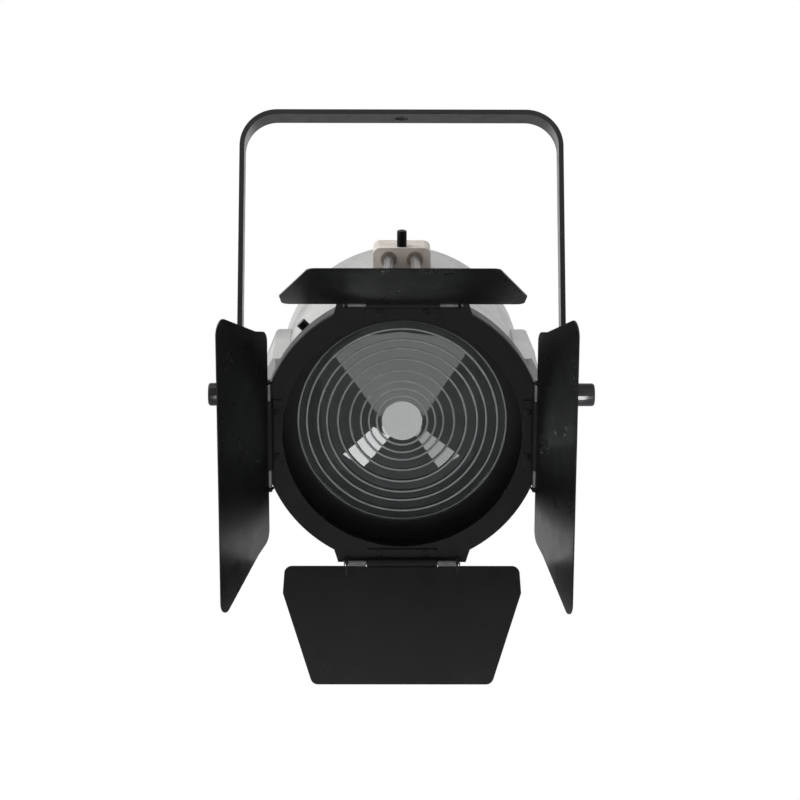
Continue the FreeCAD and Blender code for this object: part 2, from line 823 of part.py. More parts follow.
def lens_clips():
    """Posts that space the seat from the bezel and centre the lens."""
    made = []
    start = "(lens_back - gasket_thick)"
    for angle in CLIP_ANGLES:
        at = radial(angle, value("lens_radius + clip_radius + seat_gap"), value(start))
        made.append(cylinder("clip_radius", f"{BEZEL_BACK} - {start}", at, Vector(0, -1, 0)))
    return group("lens_clips", made, HEAD)


def lens_catch():
    """A pull knob whose pin passes through the shell into the bezel's skirt."""
    knob_start = "housing_radius + seat_gap"
    pin = catch_rod("catch_pin", "housing_radius - housing_wall - skirt_thick - catch_pin_depth",
                    f"{knob_start} + catch_rise / 2")
    knob = catch_rod("catch_knob", knob_start, "housing_radius + catch_rise")
    return keep(fused([pin, knob]), "lens_catch", HEAD)


# --- focus slide --------------------------------------------------------------------------------------

SLIDER_BACK = "slider_front - slider_depth"


def focus_rods():
    """The two steel rods on which the slider runs."""
    made = []
    for side in (1, -1):
        at = Vector(side * size("rod_spread"), value(ROD_BACK), value(ROD_HEIGHT))
        made.append(cylinder("rod_radius", f"{ROD_BACK} + rod_front", at, Vector(0, -1, 0)))
    return group("focus_rods", made, HEAD)


def rod_support(label, back):
    """A block that stands on the shell and holds one end of both rods."""
    body = new_body(label)
    sketch = new_sketch(body, "XZ_Plane", back)
    half, foot, top = "support_half_width", "housing_radius - overrun", "housing_radius + support_rise"
    outline(sketch, [(f"-({half})", foot), (half, foot), (half, top), (f"-({half})", top)])
    pad(body, sketch, "support_depth")
    cut = new_sketch(body, "XZ_Plane")
    circle(cut, "housing_radius + seat_gap")
    circle(cut, "rod_radius + close_gap", "rod_spread", ROD_HEIGHT)
    circle(cut, "rod_radius + close_gap", "-rod_spread", ROD_HEIGHT)
    pocket(body, cut)
    return keep(body, label, HEAD)


def focus_slider():
    """The grey block that rides on both rods and carries the lamp through the slot below it."""
    body = new_body("focus_slider")
    sketch = new_sketch(body, "XZ_Plane", SLIDER_BACK)
    half, foot = "slider_width / 2", "housing_radius - overrun"
    outline(sketch, [(f"-({half})", foot), (half, foot), (half, SLIDER_TOP), (f"-({half})", SLIDER_TOP)])
    pad(body, sketch, "slider_depth")
    top = value(SLIDER_TOP)

    def top_edge(e):
        return vertical_edge(e, Vector(0, 1, 0)) and e.Vertexes[0].Point.z > top - 1

    round_edges(body, "slider_round", top_edge)
    cut = new_sketch(body, "XZ_Plane")
    circle(cut, "housing_radius + clear_gap * 2")
    circle(cut, "bush_outer + close_gap", "rod_spread", ROD_HEIGHT)
    circle(cut, "bush_outer + close_gap", "-rod_spread", ROD_HEIGHT)
    pocket(body, cut)
    neck = new_sketch(body, "XY_Plane", SLED_TOP)
    half = "neck_half_width"
    back, front = f"-({NECK_BACK})", f"-({NECK_FRONT})"
    outline(neck, [(f"-({half})", back), (half, back), (half, front), (f"-({half})", front)])
    pad(body, neck, f"{ROD_HEIGHT} - bush_outer - clear_gap - {SLED_TOP}")
    lock = new_sketch(body, "XY_Plane", SLIDER_TOP)
    circle(lock, "lock_radius + running_gap", "0", "-lock_forward")
    pocket(body, lock, "lock_sink", backward=True)
    return keep(body, "focus_slider", HEAD)


def slider_bushes():
    """Bronze bushes pressed in at both faces of the slider, a little proud of them."""
    made = []
    for side in (1, -1):
        for proud_face in ("front", "back"):
            front = proud_face == "front"
            start = "slider_front + bush_proud" if front else f"{SLIDER_BACK} - bush_proud + bush_length"
            at = Vector(side * size("rod_spread"), -value(start), value(ROD_HEIGHT))
            bush = doc.addObject("Part::Cut", "Bush")
            bush.Base = cylinder("bush_outer", "bush_length", at, Vector(0, 1, 0))
            bush.Tool = cylinder("rod_radius + running_gap", "bush_length", at, Vector(0, 1, 0))
            made.append(bush)
    return group("slider_bushes", made, HEAD)


def focus_lock():
    """The black lock pin on the slider."""
    foot, top = f"{SLIDER_TOP} - lock_sink + seat_gap", f"{SLIDER_TOP} + lock_rise"
    body = turned_body("focus_lock", "up", [
        ("0", foot), ("lock_radius", foot), ("lock_radius", top), ("0", top)])
    at = HEAD.multiply(Placement(Vector(0, -size("lock_forward"), 0), Rotation()))
    return keep(body, "focus_lock", at)


# --- lamp carriage ------------------------------------------------------------------------------------


def box_body(label, left, right, back, front, low, high):
    """A rectangular block given by its six faces in the head's frame."""
    body = new_body(label)
    sketch = new_sketch(body, "XY_Plane", low)
    rear, fore = f"-({back})", f"-({front})"
    outline(sketch, [(left, rear), (right, rear), (right, fore), (left, fore)])
    pad(body, sketch, f"{high} - ({low})")
    return body


HANGER_FRONT = "lamp_forward - dish_radius - seat_gap"
HANGER_BACK = f"{HANGER_FRONT} - sled_thick"


def lamp_sled():
    """The plate under the slider's neck, with the hanger that drops to the lamp holder's foot."""
    body = box_body("lamp_sled", "-sled_half_width", "sled_half_width", HANGER_BACK, "-sled_front",
                    f"{SLED_TOP} - sled_thick", f"{SLED_TOP} - seat_gap")
    foot_top = "-hanger_bottom + sled_thick"
    for low, high, back, front in (("-hanger_bottom", f"{SLED_TOP} - sled_thick", HANGER_BACK, HANGER_FRONT),
                                   ("-hanger_bottom", foot_top, HANGER_BACK, "lamp_forward + holder_radius")):
        sketch = new_sketch(body, "XY_Plane", low)
        outline(sketch, [("-hanger_half_width", f"-({back})"), ("hanger_half_width", f"-({back})"),
                         ("hanger_half_width", f"-({front})"), ("-hanger_half_width", f"-({front})")])
        pad(body, sketch, f"{high} - ({low})")
    stem = new_sketch(body, "XZ_Plane")
    circle(stem, "dish_stem + close_gap")
    pocket(body, stem)
    return keep(body, "lamp_sled", HEAD)


def lamp_place():
    """The head's placement moved to the lamp's upright centre line."""
    return HEAD.multiply(Placement(Vector(0, -size("lamp_forward"), 0), Rotation()))


def lamp_holder():
    """The ceramic holder on the foot of the hanger."""
    foot = "-hanger_bottom + sled_thick + seat_gap"
    top = f"{foot} + holder_height"
    body = turned_body("lamp_holder", "up", [
        ("0", foot), ("holder_radius", foot), ("holder_radius", top), ("0", top)])
    return keep(body, "lamp_holder", lamp_place())


BULB_FOOT = "-hanger_bottom + sled_thick + seat_gap * 2 + holder_height"


def halogen_lamp():
    """The lamp's glass envelope with a hollow for the filament."""
    top, inside = f"{BULB_FOOT} + bulb_height", "bulb_radius - bulb_wall"
    roof, floor = f"{top} - bulb_wall", f"{BULB_FOOT} + bulb_pinch"
    body = turned_body("halogen_lamp", "up", [
        ("0", BULB_FOOT), ("bulb_radius", BULB_FOOT), ("bulb_radius", top), ("0", top),
        ("0", roof), (inside, roof), (inside, floor), ("0", floor)])
    return keep(body, "halogen_lamp", lamp_place())


def lamp_filament():
    """The filament's coil on its post, centred on the lens axis."""
    foot, low, high = f"{BULB_FOOT} + bulb_pinch + seat_gap", "-filament_height / 2", "filament_height / 2"
    body = turned_body("lamp_filament", "up", [
        ("0", foot), ("filament_post", foot), ("filament_post", low),
        ("filament_radius", low), ("filament_radius", high), ("0", high)])
    return keep(body, "lamp_filament", lamp_place())


def dish_zone(radius):
    """A cap of a ball, as far as the dish's latitude from its pole."""
    made = doc.addObject("Part::Sphere", "Zone")
    bind(made, Radius=radius, Angle1="-90", Angle2="-dish_angle")
    made.Angle3 = 360
    return made


def lamp_reflector():
    """A spherical reflector behind the lamp, centred on the filament, on a stem through the hanger."""
    dish = doc.addObject("Part::Cut", "Dish")
    dish.Base = dish_zone("dish_radius")
    dish.Tool = doc.addObject("Part::Sphere", "Hollow")
    bind(dish.Tool, Radius="dish_radius - dish_thick")
    pole = Vector(0, 0, -size("dish_radius") + size("dish_thick") / 2)
    stem = cylinder("dish_stem", "sled_thick * 2 + dish_thick / 2", pole, Vector(0, 0, -1))
    facing = Placement(Vector(0, -size("lamp_forward"), 0), Rotation(Vector(1, 0, 0), 90))
    return keep(fused([dish, stem]), "lamp_reflector", HEAD.multiply(facing))


# --- power inlet, safety eye, terminal block ----------------------------------------------------------

CAP_OUT = "-(housing_back + cap_depth)"


def cable_gland():
    """The gland in the lower back of the cap, left without its cord."""
    root, collar = f"{CAP_FACE} + gland_root", f"{CAP_OUT} - seat_gap"
    wide, tip = "gland_radius + gland_collar", f"{CAP_OUT} - gland_length"
    body = turned_body("cable_gland", "forward", [
        ("gland_bore", root), ("gland_radius", root), ("gland_radius", collar), (wide, collar),
        (wide, f"{CAP_OUT} - gland_length / 2"), ("gland_radius", tip), ("gland_bore", tip)])
    return keep(body, "cable_gland", HEAD.multiply(Placement(Vector(0, 0, -value(GLAND_DROP)), Rotation())))


def safety_eye():
    """A steel ring eye on the back of the cap for a safety bond."""
    eye = doc.addObject("Part::Torus", "Eye")
    bind(eye, Radius1="eye_radius", Radius2="eye_wire")
    centre = value(f"-({CAP_OUT}) + eye_neck + eye_wire + eye_radius")
    eye.Placement = Placement(Vector(0, centre, value(EYE_UP)), Rotation(Vector(0, 1, 0), 90))
    foot = Vector(0, value(f"seat_gap - ({CAP_OUT})"), value(EYE_UP))
    base = cylinder("eye_wire * 2", "eye_neck + eye_wire", foot, Vector(0, 1, 0))
    return keep(fused([eye, base]), "safety_eye", HEAD)


def terminal_block():
    """The ceramic terminal block on the floor of the shell."""
    inside = "(housing_radius - housing_wall - clear_gap)"
    floor = f"-sqrt({inside} * {inside} - terminal_width * terminal_width / 4)"
    back = "-housing_back + cap_lip + terminal_setback"
    body = box_body("terminal_block", "-terminal_width / 2", "terminal_width / 2",
                    back, f"{back} + terminal_depth", floor, f"{floor} + terminal_height")
    return keep(body, "terminal_block", HEAD)


# --- turning ring -------------------------------------------------------------------------------------

PLATE_BACK = "barrel_front + clear_gap"
PLATE_FRONT = f"{PLATE_BACK} + ring_plate_thick"
TUBE_OUTER = f"{LIP_INNER} - clear_gap"
RING_OUT = f"({BARREL} - ring_plate_inset)"
TUBE_BACK = "barrel_front - barrel_wall - clear_gap"
QUARTERS = {"top": 0, "right": 90, "bottom": 180, "left": 270}
KINDS = {"top": "upright", "right": "side", "bottom": "upright", "left": "side"}


def lug_reach(quarter):
    """The distance of a lug's outer edge from the lens axis."""
    return f"({BARREL} - {KINDS[quarter]}_lug_inset)"


def quarter_point(quarter, across, out):
    """A point of a lug's outline, given for the top lug, turned to its own quarter."""
    return {"top": (across, out), "right": (out, f"-({across})"),
            "bottom": (f"-({across})", f"-({out})"), "left": (f"-({out})", across)}[quarter]


def barn_ring():
    """The turning ring: a front plate with four hinge lugs and a tube that runs in the barrel's lip."""
    body = turned_body("barn_ring", "forward", [
        (f"{RING_OUT} - ring_plate_width", PLATE_BACK), (f"{TUBE_OUTER} - ring_tube_wall", PLATE_BACK),
        (f"{TUBE_OUTER} - ring_tube_wall", TUBE_BACK), (TUBE_OUTER, TUBE_BACK), (TUBE_OUTER, PLATE_BACK),
        (RING_OUT, PLATE_BACK), (RING_OUT, PLATE_FRONT), (f"{RING_OUT} - ring_plate_width", PLATE_FRONT)])
    for quarter in QUARTERS:
        lug = new_sketch(body, "XZ_Plane", PLATE_BACK)
        reach = lug_reach(quarter)
        base = f"({BARREL} - lug_base_inset)"
        base_half, tip_half = f"{KINDS[quarter]}_lug_base_half", f"{KINDS[quarter]}_lug_tip_half"
        outline(lug, [quarter_point(quarter, across, out) for across, out in (
            (f"-{base_half}", base), (f"-{tip_half}", reach), (tip_half, reach), (base_half, base))])
        pad(body, lug, "ring_plate_thick")
    return keep(body, "barn_ring", HEAD)


def keeper_ring():
    """The ring screwed to the tube behind the barrel's lip, which keeps the turning ring in the barrel."""
    outer, front = f"{BARREL} - barrel_wall - keeper_gap", f"{TUBE_BACK} - seat_gap"
    body = turned_body("keeper_ring", "forward", ring(
        f"{outer} - keeper_width", outer, f"{front} - keeper_thick", front))
    return keep(body, "keeper_ring", HEAD)


# --- hinges and leaves --------------------------------------------------------------------------------

PIN_FORWARD = f"{PLATE_FRONT} + pin_rise"
BRACKET_SCREW_INWARD = "bracket_foot - bracket_screw_edge"


def hinge_frame(quarter):
    """The frame of one hinge: X along the pin, -Y forward and Z away from the lens axis."""
    out = value(f"{lug_reach(quarter)} - pin_inset")
    turn = Placement(Vector(), Rotation(Vector(0, 1, 0), QUARTERS[quarter]))
    return HEAD.multiply(turn).multiply(Placement(Vector(0, -value(PIN_FORWARD), out), Rotation()))


def hinge_bracket(quarter):
    """A steel strap whose foot lies on the lug and whose barrel holds the hinge pin."""
    body = new_body(f"hinge_bracket_{quarter}")
    foot = new_sketch(body, "YZ_Plane")
    outline(foot, [("pin_rise", "-bracket_foot"), ("pin_rise - bracket_foot_thick", "-bracket_foot"),
                   ("pin_rise - bracket_foot_thick", "0"), ("pin_rise", "0")])
    pad(body, foot, "bracket_half * 2", both=True)
    barrel = new_sketch(body, "YZ_Plane")
    circle(barrel, "bracket_barrel")
    pad(body, barrel, "bracket_half * 2", both=True)
    bore = new_sketch(body, "YZ_Plane")
    circle(bore, "pin_radius + close_gap")
    pocket(body, bore)
    holes = new_sketch(body, "XZ_Plane")
    for sign in ("", "-"):
        circle(holes, "screw_radius + close_gap", f"{sign}bracket_screw_spread", f"-({BRACKET_SCREW_INWARD})")
    pocket(body, holes)
    return keep(body, f"hinge_bracket_{quarter}", hinge_frame(quarter))


def hinge_screws():
    """Two screws through each bracket's foot."""
    made = []
    home = HEAD.inverse()
    for quarter in QUARTERS:
        local = home.multiply(hinge_frame(quarter))
        for sign in (1, -1):
            across, inward = sign * size("bracket_screw_spread"), -value(BRACKET_SCREW_INWARD)
            at = local.multVec(Vector(across, value("pin_rise - bracket_foot_thick"), inward))
            made.append(screw(at, Vector(0, -1, 0), "bracket_foot_thick"))
    return group("hinge_screws", made, HEAD)


def hinge_pin(quarter):
    """A pin with a head at each end, held in the bracket's barrel."""
    body = turned_body(f"hinge_pin_{quarter}", "side", [
        ("-pin_end", "0"), ("-pin_end", "pin_head"), ("-pin_end + pin_head_length", "pin_head"),
        ("-pin_end + pin_head_length", "pin_radius"), ("pin_end - pin_head_length", "pin_radius"),
        ("pin_end - pin_head_length", "pin_head"), ("pin_end", "pin_head"), ("pin_end", "0")])
    return keep(body, f"hinge_pin_{quarter}", hinge_frame(quarter))


def leaf(quarter):
    """A flat sheet leaf in line with its pin, notched for the bracket, with an ear at each end of the pin."""
    kind = KINDS[quarter]
    hinge_half, flare_half, far_half = f"{kind}_hinge_half", f"{kind}_flare_half", f"{kind}_far_half"
    start = "(pin_head + clear_gap)"
    flare = f"({start} + flare_length)"
    far = f"({flare} + panel_length)"
    notch, notch_end = "bracket_half + notch_side_gap", "-(bracket_barrel + notch_end_gap)"
    body = new_body(f"leaf_{quarter}")
    panel = new_sketch(body, "XY_Plane")
    outline(panel, [
        (f"-{hinge_half}", f"-{start}"), (f"-({notch})", f"-{start}"), (f"-({notch})", notch_end),
        (notch, notch_end), (notch, f"-{start}"), (hinge_half, f"-{start}"), (flare_half, f"-{flare}"),
        (far_half, f"-{far}"), (f"-{far_half}", f"-{far}"), (f"-{flare_half}", f"-{flare}")])
    pad(body, panel, "sheet_thick", both=True)
    widest_notch = value(notch) + 1

    def corner(e):
        point = e.Vertexes[0].Point
        at_flare = abs(abs(point.x) - size(flare_half)) < 0.01
        return vertical_edge(e, Vector(0, 0, 1)) and abs(point.x) > widest_notch and not at_flare

    round_edges(body, f"{kind}_corner", corner)
    for sign in ("", "-"):
        ear = new_sketch(body, "YZ_Plane", f"{sign}(ear_start + ear_thick / 2)")
        outline(ear, [("ear_radius", "-ear_radius"), ("ear_radius", "ear_radius"),
                      ("-ear_radius", "ear_radius"), ("-ear_length", "sheet_thick / 2"),
                      ("-ear_length", "-sheet_thick / 2"), ("-ear_radius", "-ear_radius")])
        pad(body, ear, "ear_thick", both=True)
    bore = new_sketch(body, "YZ_Plane")
    circle(bore, "pin_radius + running_gap")
    pocket(body, bore)
    opened = Placement(Vector(), Rotation(Vector(1, 0, 0), -size(f"{quarter}_open_angle")))
    return keep(body, f"leaf_{quarter}", hinge_frame(quarter).multiply(opened))


def build():
    """Makes every sub-part."""
    yoke_bracket()
    friction_discs()
    knob_washers()
    for side in ("left", "right"):
        tilt_knob(side)
        pivot_hub(side)
        side_cheek(side)
    pivot_studs()
    for make in (rear_housing, rear_cap, vent_grille, vent_frame, cap_screws, front_barrel, lens_bezel,
                 fresnel_lens, lens_gasket, lens_seat, lens_clips, lens_catch, focus_rods):
        make()
    rod_support("rod_support_front", "rod_front - support_depth")
    rod_support("rod_support_rear", f"-{ROD_BACK}")
    for make in (focus_slider, slider_bushes, focus_lock, lamp_sled, lamp_holder, halogen_lamp, lamp_filament,
                 lamp_reflector, cable_gland, safety_eye, terminal_block, barn_ring, keeper_ring,
                 hinge_screws):
        make()
    for quarter in QUARTERS:
        hinge_bracket(quarter)
        hinge_pin(quarter)
        leaf(quarter)


def check():
    """Stops if any object failed, or if any sub-part is missing, null or invalid."""
    for thing in doc.Objects:
        if {"Invalid", "Error"} & set(thing.State):
            raise RuntimeError(f"{thing.Name} ({thing.Label}) failed: {thing.State}")
    for thing in PARTS:
        if thing.Shape.isNull() or not thing.Shape.isValid() or not thing.Shape.Solids:
            raise RuntimeError(f"{thing.Label} has no valid solid")


build()
doc.recompute()
check()
for thing in PARTS:
    thing.Shape.exportStep(f"parts/{thing.Label}.step")
print(len(PARTS), "sub-parts")
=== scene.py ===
"""Dresses a hanging theatre Fresnel spotlight: finishes, moulded lens, knobs, fasteners and a plain studio.

Everything is in metres in the row frame: +Z up, the lamp's front towards -Y, X along the tilt axis. The
head's shapes are worked out in its own frame (across, forward, up) and carried to the row frame.
"""

from __future__ import annotations

import json
import logging
import math
from dataclasses import dataclass
from enum import Enum

import bmesh
import bpy
from mathutils import Matrix, Vector

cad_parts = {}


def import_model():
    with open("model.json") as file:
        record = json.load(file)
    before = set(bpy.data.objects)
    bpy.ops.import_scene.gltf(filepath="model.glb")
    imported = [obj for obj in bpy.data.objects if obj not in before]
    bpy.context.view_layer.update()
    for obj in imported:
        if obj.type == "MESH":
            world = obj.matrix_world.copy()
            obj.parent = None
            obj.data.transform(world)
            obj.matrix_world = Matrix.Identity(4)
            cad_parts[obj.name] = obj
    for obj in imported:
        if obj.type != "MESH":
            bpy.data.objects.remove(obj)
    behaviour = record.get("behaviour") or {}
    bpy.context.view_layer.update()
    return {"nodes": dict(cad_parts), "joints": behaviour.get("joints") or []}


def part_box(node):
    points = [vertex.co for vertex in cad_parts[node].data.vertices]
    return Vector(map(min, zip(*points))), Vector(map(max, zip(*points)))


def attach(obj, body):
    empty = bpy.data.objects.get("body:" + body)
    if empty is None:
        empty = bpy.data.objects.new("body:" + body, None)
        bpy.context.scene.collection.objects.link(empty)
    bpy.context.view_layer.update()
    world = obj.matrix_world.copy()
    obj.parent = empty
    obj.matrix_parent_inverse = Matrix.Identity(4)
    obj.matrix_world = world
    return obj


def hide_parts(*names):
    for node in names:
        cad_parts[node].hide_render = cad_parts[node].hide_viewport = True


LOG = logging.getLogger("fresnel_spotlight")
MM = 0.001
# Faces of a made piece that meet at more than this show a crisp edge.
SHARP_ANGLE = math.radians(28)
# The refractive index of borosilicate glass.
GLASS_IOR = 1.474
# A point on the lens axis in the middle of the head, which every inner wall faces.
HEAD_MIDDLE = (0.0, -0.01, -0.2976)


class Side(Enum):
    """The two ends of the tilt axis."""

    RIGHT = 1.0
    LEFT = -1.0


class Quarter(Enum):
    """The places of the barn door's leaves."""

    TOP = "top"
    RIGHT = "right"
    BOTTOM = "bottom"
    LEFT = "left"


# --- nodes and colours --------------------------------------------------------------------------------


def linear(code: str) -> tuple[float, float, float, float]:
    """Turns an sRGB hex colour to linear light.

    Args:
        code: The colour as "#rrggbb".

    Returns:
        Red, green, blue and an alpha of 1.
    """
    parts = [int(code[i : i + 2], 16) / 255 for i in (1, 3, 5)]
    light = [v / 12.92 if v <= 0.04045 else ((v + 0.055) / 1.055) ** 2.4 for v in parts]
    return light[0], light[1], light[2], 1.0


def add_node(
    tree: bpy.types.NodeTree, kind: str, settings: dict | None = None, links: dict | None = None
) -> bpy.types.Node:
    """Adds a node, sets it up and links its inputs.

    Args:
        tree: The tree that gets the node.
        kind: The node's type, such as "ShaderNodeTexNoise".
        settings: Values by attribute name, or by input name or number.
        links: Output sockets by the input name or number that each feeds.

    Returns:
        The new node.
    """
    node = tree.nodes.new(kind)
    for key, given in (settings or {}).items():
        if isinstance(key, str) and hasattr(node, key):
            setattr(node, key, given)
        else:
            node.inputs[key].default_value = given
    for key, socket in (links or {}).items():
        tree.links.new(socket, node.inputs[key])
    return node


def mottle(tree: bpy.types.NodeTree, size_mm: float) -> bpy.types.NodeSocket:
    """Adds a noise whose patches have a real size.

    Args:
        tree: The material's tree.
        size_mm: The width of one patch in millimetres.

    Returns:
        The noise's value, from 0 to 1.
    """
    where = add_node(tree, "ShaderNodeTexCoord").outputs["Object"]
    settings = {"Scale": 1 / (size_mm * MM), "Detail": 3.0, "Roughness": 0.55}
    return add_node(tree, "ShaderNodeTexNoise", settings, {"Vector": where}).outputs["Fac"]


def spread(
    tree: bpy.types.NodeTree,
    value: bpy.types.NodeSocket,
    source: tuple[float, float],
    target: tuple[float, float],
) -> bpy.types.NodeSocket:
    """Maps one range of a value onto another, held at both ends.

    Args:
        tree: The material's tree.
        value: The value to map.
        source: The range that it has.
        target: The range that it gets.

    Returns:
        The mapped value.
    """
    settings = {1: source[0], 2: source[1], 3: target[0], 4: target[1]}
    return add_node(tree, "ShaderNodeMapRange", settings, {0: value}).outputs[0]


def blend_colours(
    tree: bpy.types.NodeTree, share: bpy.types.NodeSocket, first: str | bpy.types.NodeSocket, second: str
) -> bpy.types.NodeSocket:
    """Mixes a colour with a second one.

    Args:
        tree: The material's tree.
        share: How much of the second colour shows.
        first: A hex colour, or the output of an earlier mix.
        second: The second colour as hex.

    Returns:
        The mixed colour.
    """
    settings = {"data_type": "RGBA", 7: linear(second)}
    links = {0: share}
    if isinstance(first, str):
        settings[6] = linear(first)
    else:
        links[6] = first
    return add_node(tree, "ShaderNodeMix", settings, links).outputs[2]


def wear_and_highlight_edges(tree: bpy.types.NodeTree, reach_mm: float) -> bpy.types.NodeSocket:
    """Finds edges for a paler colour, partly real wear and partly a painted highlight, where the rounded
    normal departs from the face's own.

    Args:
        tree: The material's tree.
        reach_mm: How far from an edge the paler colour goes, in millimetres.

    Returns:
        1 along edges and 0 on open faces, broken up by a fine noise.
    """
    rounded = add_node(tree, "ShaderNodeBevel", {"samples": 4, "Radius": reach_mm * MM}).outputs[0]
    plain = add_node(tree, "ShaderNodeNewGeometry").outputs["True Normal"]
    dot = add_node(tree, "ShaderNodeVectorMath", {"operation": "DOT_PRODUCT"}, {0: rounded, 1: plain})
    edge = spread(tree, dot.outputs["Value"], (0.99, 0.86), (0.0, 1.0))
    broken = spread(tree, mottle(tree, 4.0), (0.42, 0.62), (0.0, 1.0))
    return add_node(tree, "ShaderNodeMath", {"operation": "MULTIPLY"}, {0: edge, 1: broken}).outputs[0]


def inner_share(tree: bpy.types.NodeTree) -> bpy.types.NodeSocket:
    """Finds the walls of the head that face the lens axis.

    Args:
        tree: The material's tree.

    Returns:
        1 on inner walls and 0 on outer ones.
    """
    where = add_node(tree, "ShaderNodeTexCoord").outputs
    offset = {"operation": "SUBTRACT", 1: HEAD_MIDDLE}
    out = add_node(tree, "ShaderNodeVectorMath", offset, {0: where["Object"]}).outputs[0]
    links = {0: out, 1: where["Normal"]}
    turned = add_node(tree, "ShaderNodeVectorMath", {"operation": "DOT_PRODUCT"}, links)
    return spread(tree, turned.outputs["Value"], (0.002, -0.002), (0.0, 1.0))


@dataclass(frozen=True)
class Finish:
    """An opaque finish: two mottled colours, fine bumps, uneven gloss and paler edges, which are worn and
    on some finishes also a painted highlight.

    Fields give colours as hex, patterns in millimetres and shader values as they stand on the shader. The
    edge colour is that of worn edges, on the black powder coat also a painted highlight, and the field
    after specular is its share on edges; grain stretches the bumps along each axis, and inside is the
    colour of walls that face the lens axis, where they have another one.
    """

    name: str
    base: str
    shade: str
    edge_wear_and_highlight: str
    patch_mm: float
    bump_mm: float
    bump_depth_mm: float
    gloss: tuple[float, float]
    metallic: float = 0.0
    ior: float = 1.5
    specular: float = 0.5
    edge_wear_and_highlight_share: float = 0.5
    wear_reach_mm: float = 0.6
    grain: tuple[float, float, float] = (1.0, 1.0, 1.0)
    inside: str = ""

    def material(self) -> bpy.types.Material:
        """Builds the finish once and gives it back after that.

        Returns:
            The finish as a material.
        """
        known = bpy.data.materials.get(self.name)
        if known:
            return known
        made = bpy.data.materials.new(self.name)
        made.use_nodes = True
        tree = made.node_tree
        shader = tree.nodes["Principled BSDF"]
        shader.inputs["Metallic"].default_value = self.metallic
        shader.inputs["Specular IOR Level"].default_value = self.specular
        if not self.metallic:
            shader.inputs["IOR"].default_value = self.ior
        patches = spread(tree, mottle(tree, self.patch_mm), (0.35, 0.68), (0.0, 1.0))
        colour = blend_colours(tree, patches, self.base, self.shade)
        # Paler edges: partly worn paint, and on the black powder coat partly a painted highlight along the
        # rims.
        edges = wear_and_highlight_edges(tree, self.wear_reach_mm)
        times = {"operation": "MULTIPLY", 1: self.edge_wear_and_highlight_share}
        part = add_node(tree, "ShaderNodeMath", times, {0: edges}).outputs[0]
        colour = blend_colours(tree, part, colour, self.edge_wear_and_highlight)
        if self.inside:
            colour = blend_colours(tree, inner_share(tree), colour, self.inside)
        tree.links.new(colour, shader.inputs["Base Color"])
        haze = spread(tree, mottle(tree, self.patch_mm / 3), (0.3, 0.7), self.gloss)
        tree.links.new(haze, shader.inputs["Roughness"])
        tree.links.new(self.bumps(tree), shader.inputs["Normal"])
        return made

    def bumps(self, tree: bpy.types.NodeTree) -> bpy.types.NodeSocket:
        """Adds the surface's fine relief over softly rounded edges.

        Args:
            tree: The material's tree.

        Returns:
            The normal.
        """
        where = add_node(tree, "ShaderNodeTexCoord").outputs["Object"]
        along = add_node(tree, "ShaderNodeVectorMath", {"operation": "MULTIPLY", 1: self.grain}, {0: where})
        settings = {"Scale": 1 / (self.bump_mm * MM), "Detail": 2.0}
        relief = add_node(tree, "ShaderNodeTexNoise", settings, {"Vector": along.outputs[0]}).outputs["Fac"]
        soft = add_node(tree, "ShaderNodeBevel", {"samples": 4, "Radius": 0.5 * MM}).outputs[0]
        depth = {"Strength": 1.0, "Distance": self.bump_depth_mm * MM}
        return add_node(tree, "ShaderNodeBump", depth, {"Height": relief, "Normal": soft}).outputs[0]


# Polyester powder coat, baked: near-black and satin, with a fine orange peel and a low, even sheen; its
# pale edge colour is partly wear and partly a painted highlight along the rims.
BLACK_POWDER = Finish(
    "black_polyester_powder_coat", "#121213", "#181819", "#777775",
    patch_mm=60, bump_mm=1.1, bump_depth_mm=0.014, gloss=(0.36, 0.48), specular=0.25, edge_wear_and_highlight_share=0.45,
)
# The same coat on the leaves' thin sheet: blacker, and a little glossier from handling.
LEAF_POWDER = Finish(
    "leaf_black_powder_coat", "#0b0b0c", "#121213", "#5a5a58",
    patch_mm=70, bump_mm=1.1, bump_depth_mm=0.01, gloss=(0.26, 0.36), specular=0.36, edge_wear_and_highlight_share=0.4,
)
# Textured coat on the yoke's bar: greyer, and rubbed by clamps and hands where its edges catch.
YOKE_POWDER = Finish(
    "yoke_black_powder_coat", "#161617", "#1e1e1f", "#6a6a66",
    patch_mm=45, bump_mm=1.0, bump_depth_mm=0.018, gloss=(0.28, 0.4), specular=0.4, edge_wear_and_highlight_share=0.45,
)
# Textured enamel on spun aluminium: pale grey outside, slightly clouded by heat, and black within.
GREY_ENAMEL = Finish(
    "pale_grey_stoved_enamel", "#adadab", "#a1a19f", "#cfceca",
    patch_mm=48, bump_mm=1.3, bump_depth_mm=0.02, gloss=(0.26, 0.38), specular=0.5, edge_wear_and_highlight_share=0.3,
    inside="#0b0b0b",
)
# The same enamel on the focus slide, browned by the heat that rises through its slot; its paleness is
# partly painted light, standing in for light bounced onto it from the housing.
SLIDE_ENAMEL_PAINTED_LIGHT = Finish(
    "browned_grey_enamel_painted_light", "#d6cdc5", "#bfb5ac", "#e4ded8",
    patch_mm=14, bump_mm=1.0, bump_depth_mm=0.02, gloss=(0.4, 0.55), specular=0.35, edge_wear_and_highlight_share=0.35,
)
# Heat-proof black on the pieces inside: dead matt and sooty.
HEAT_BLACK = Finish(
    "heat_proof_matt_black", "#141414", "#1b1a19", "#2c2b2a",
    patch_mm=16, bump_mm=0.8, bump_depth_mm=0.03, gloss=(0.75, 0.9), specular=0.15, edge_wear_and_highlight_share=0.2,
)
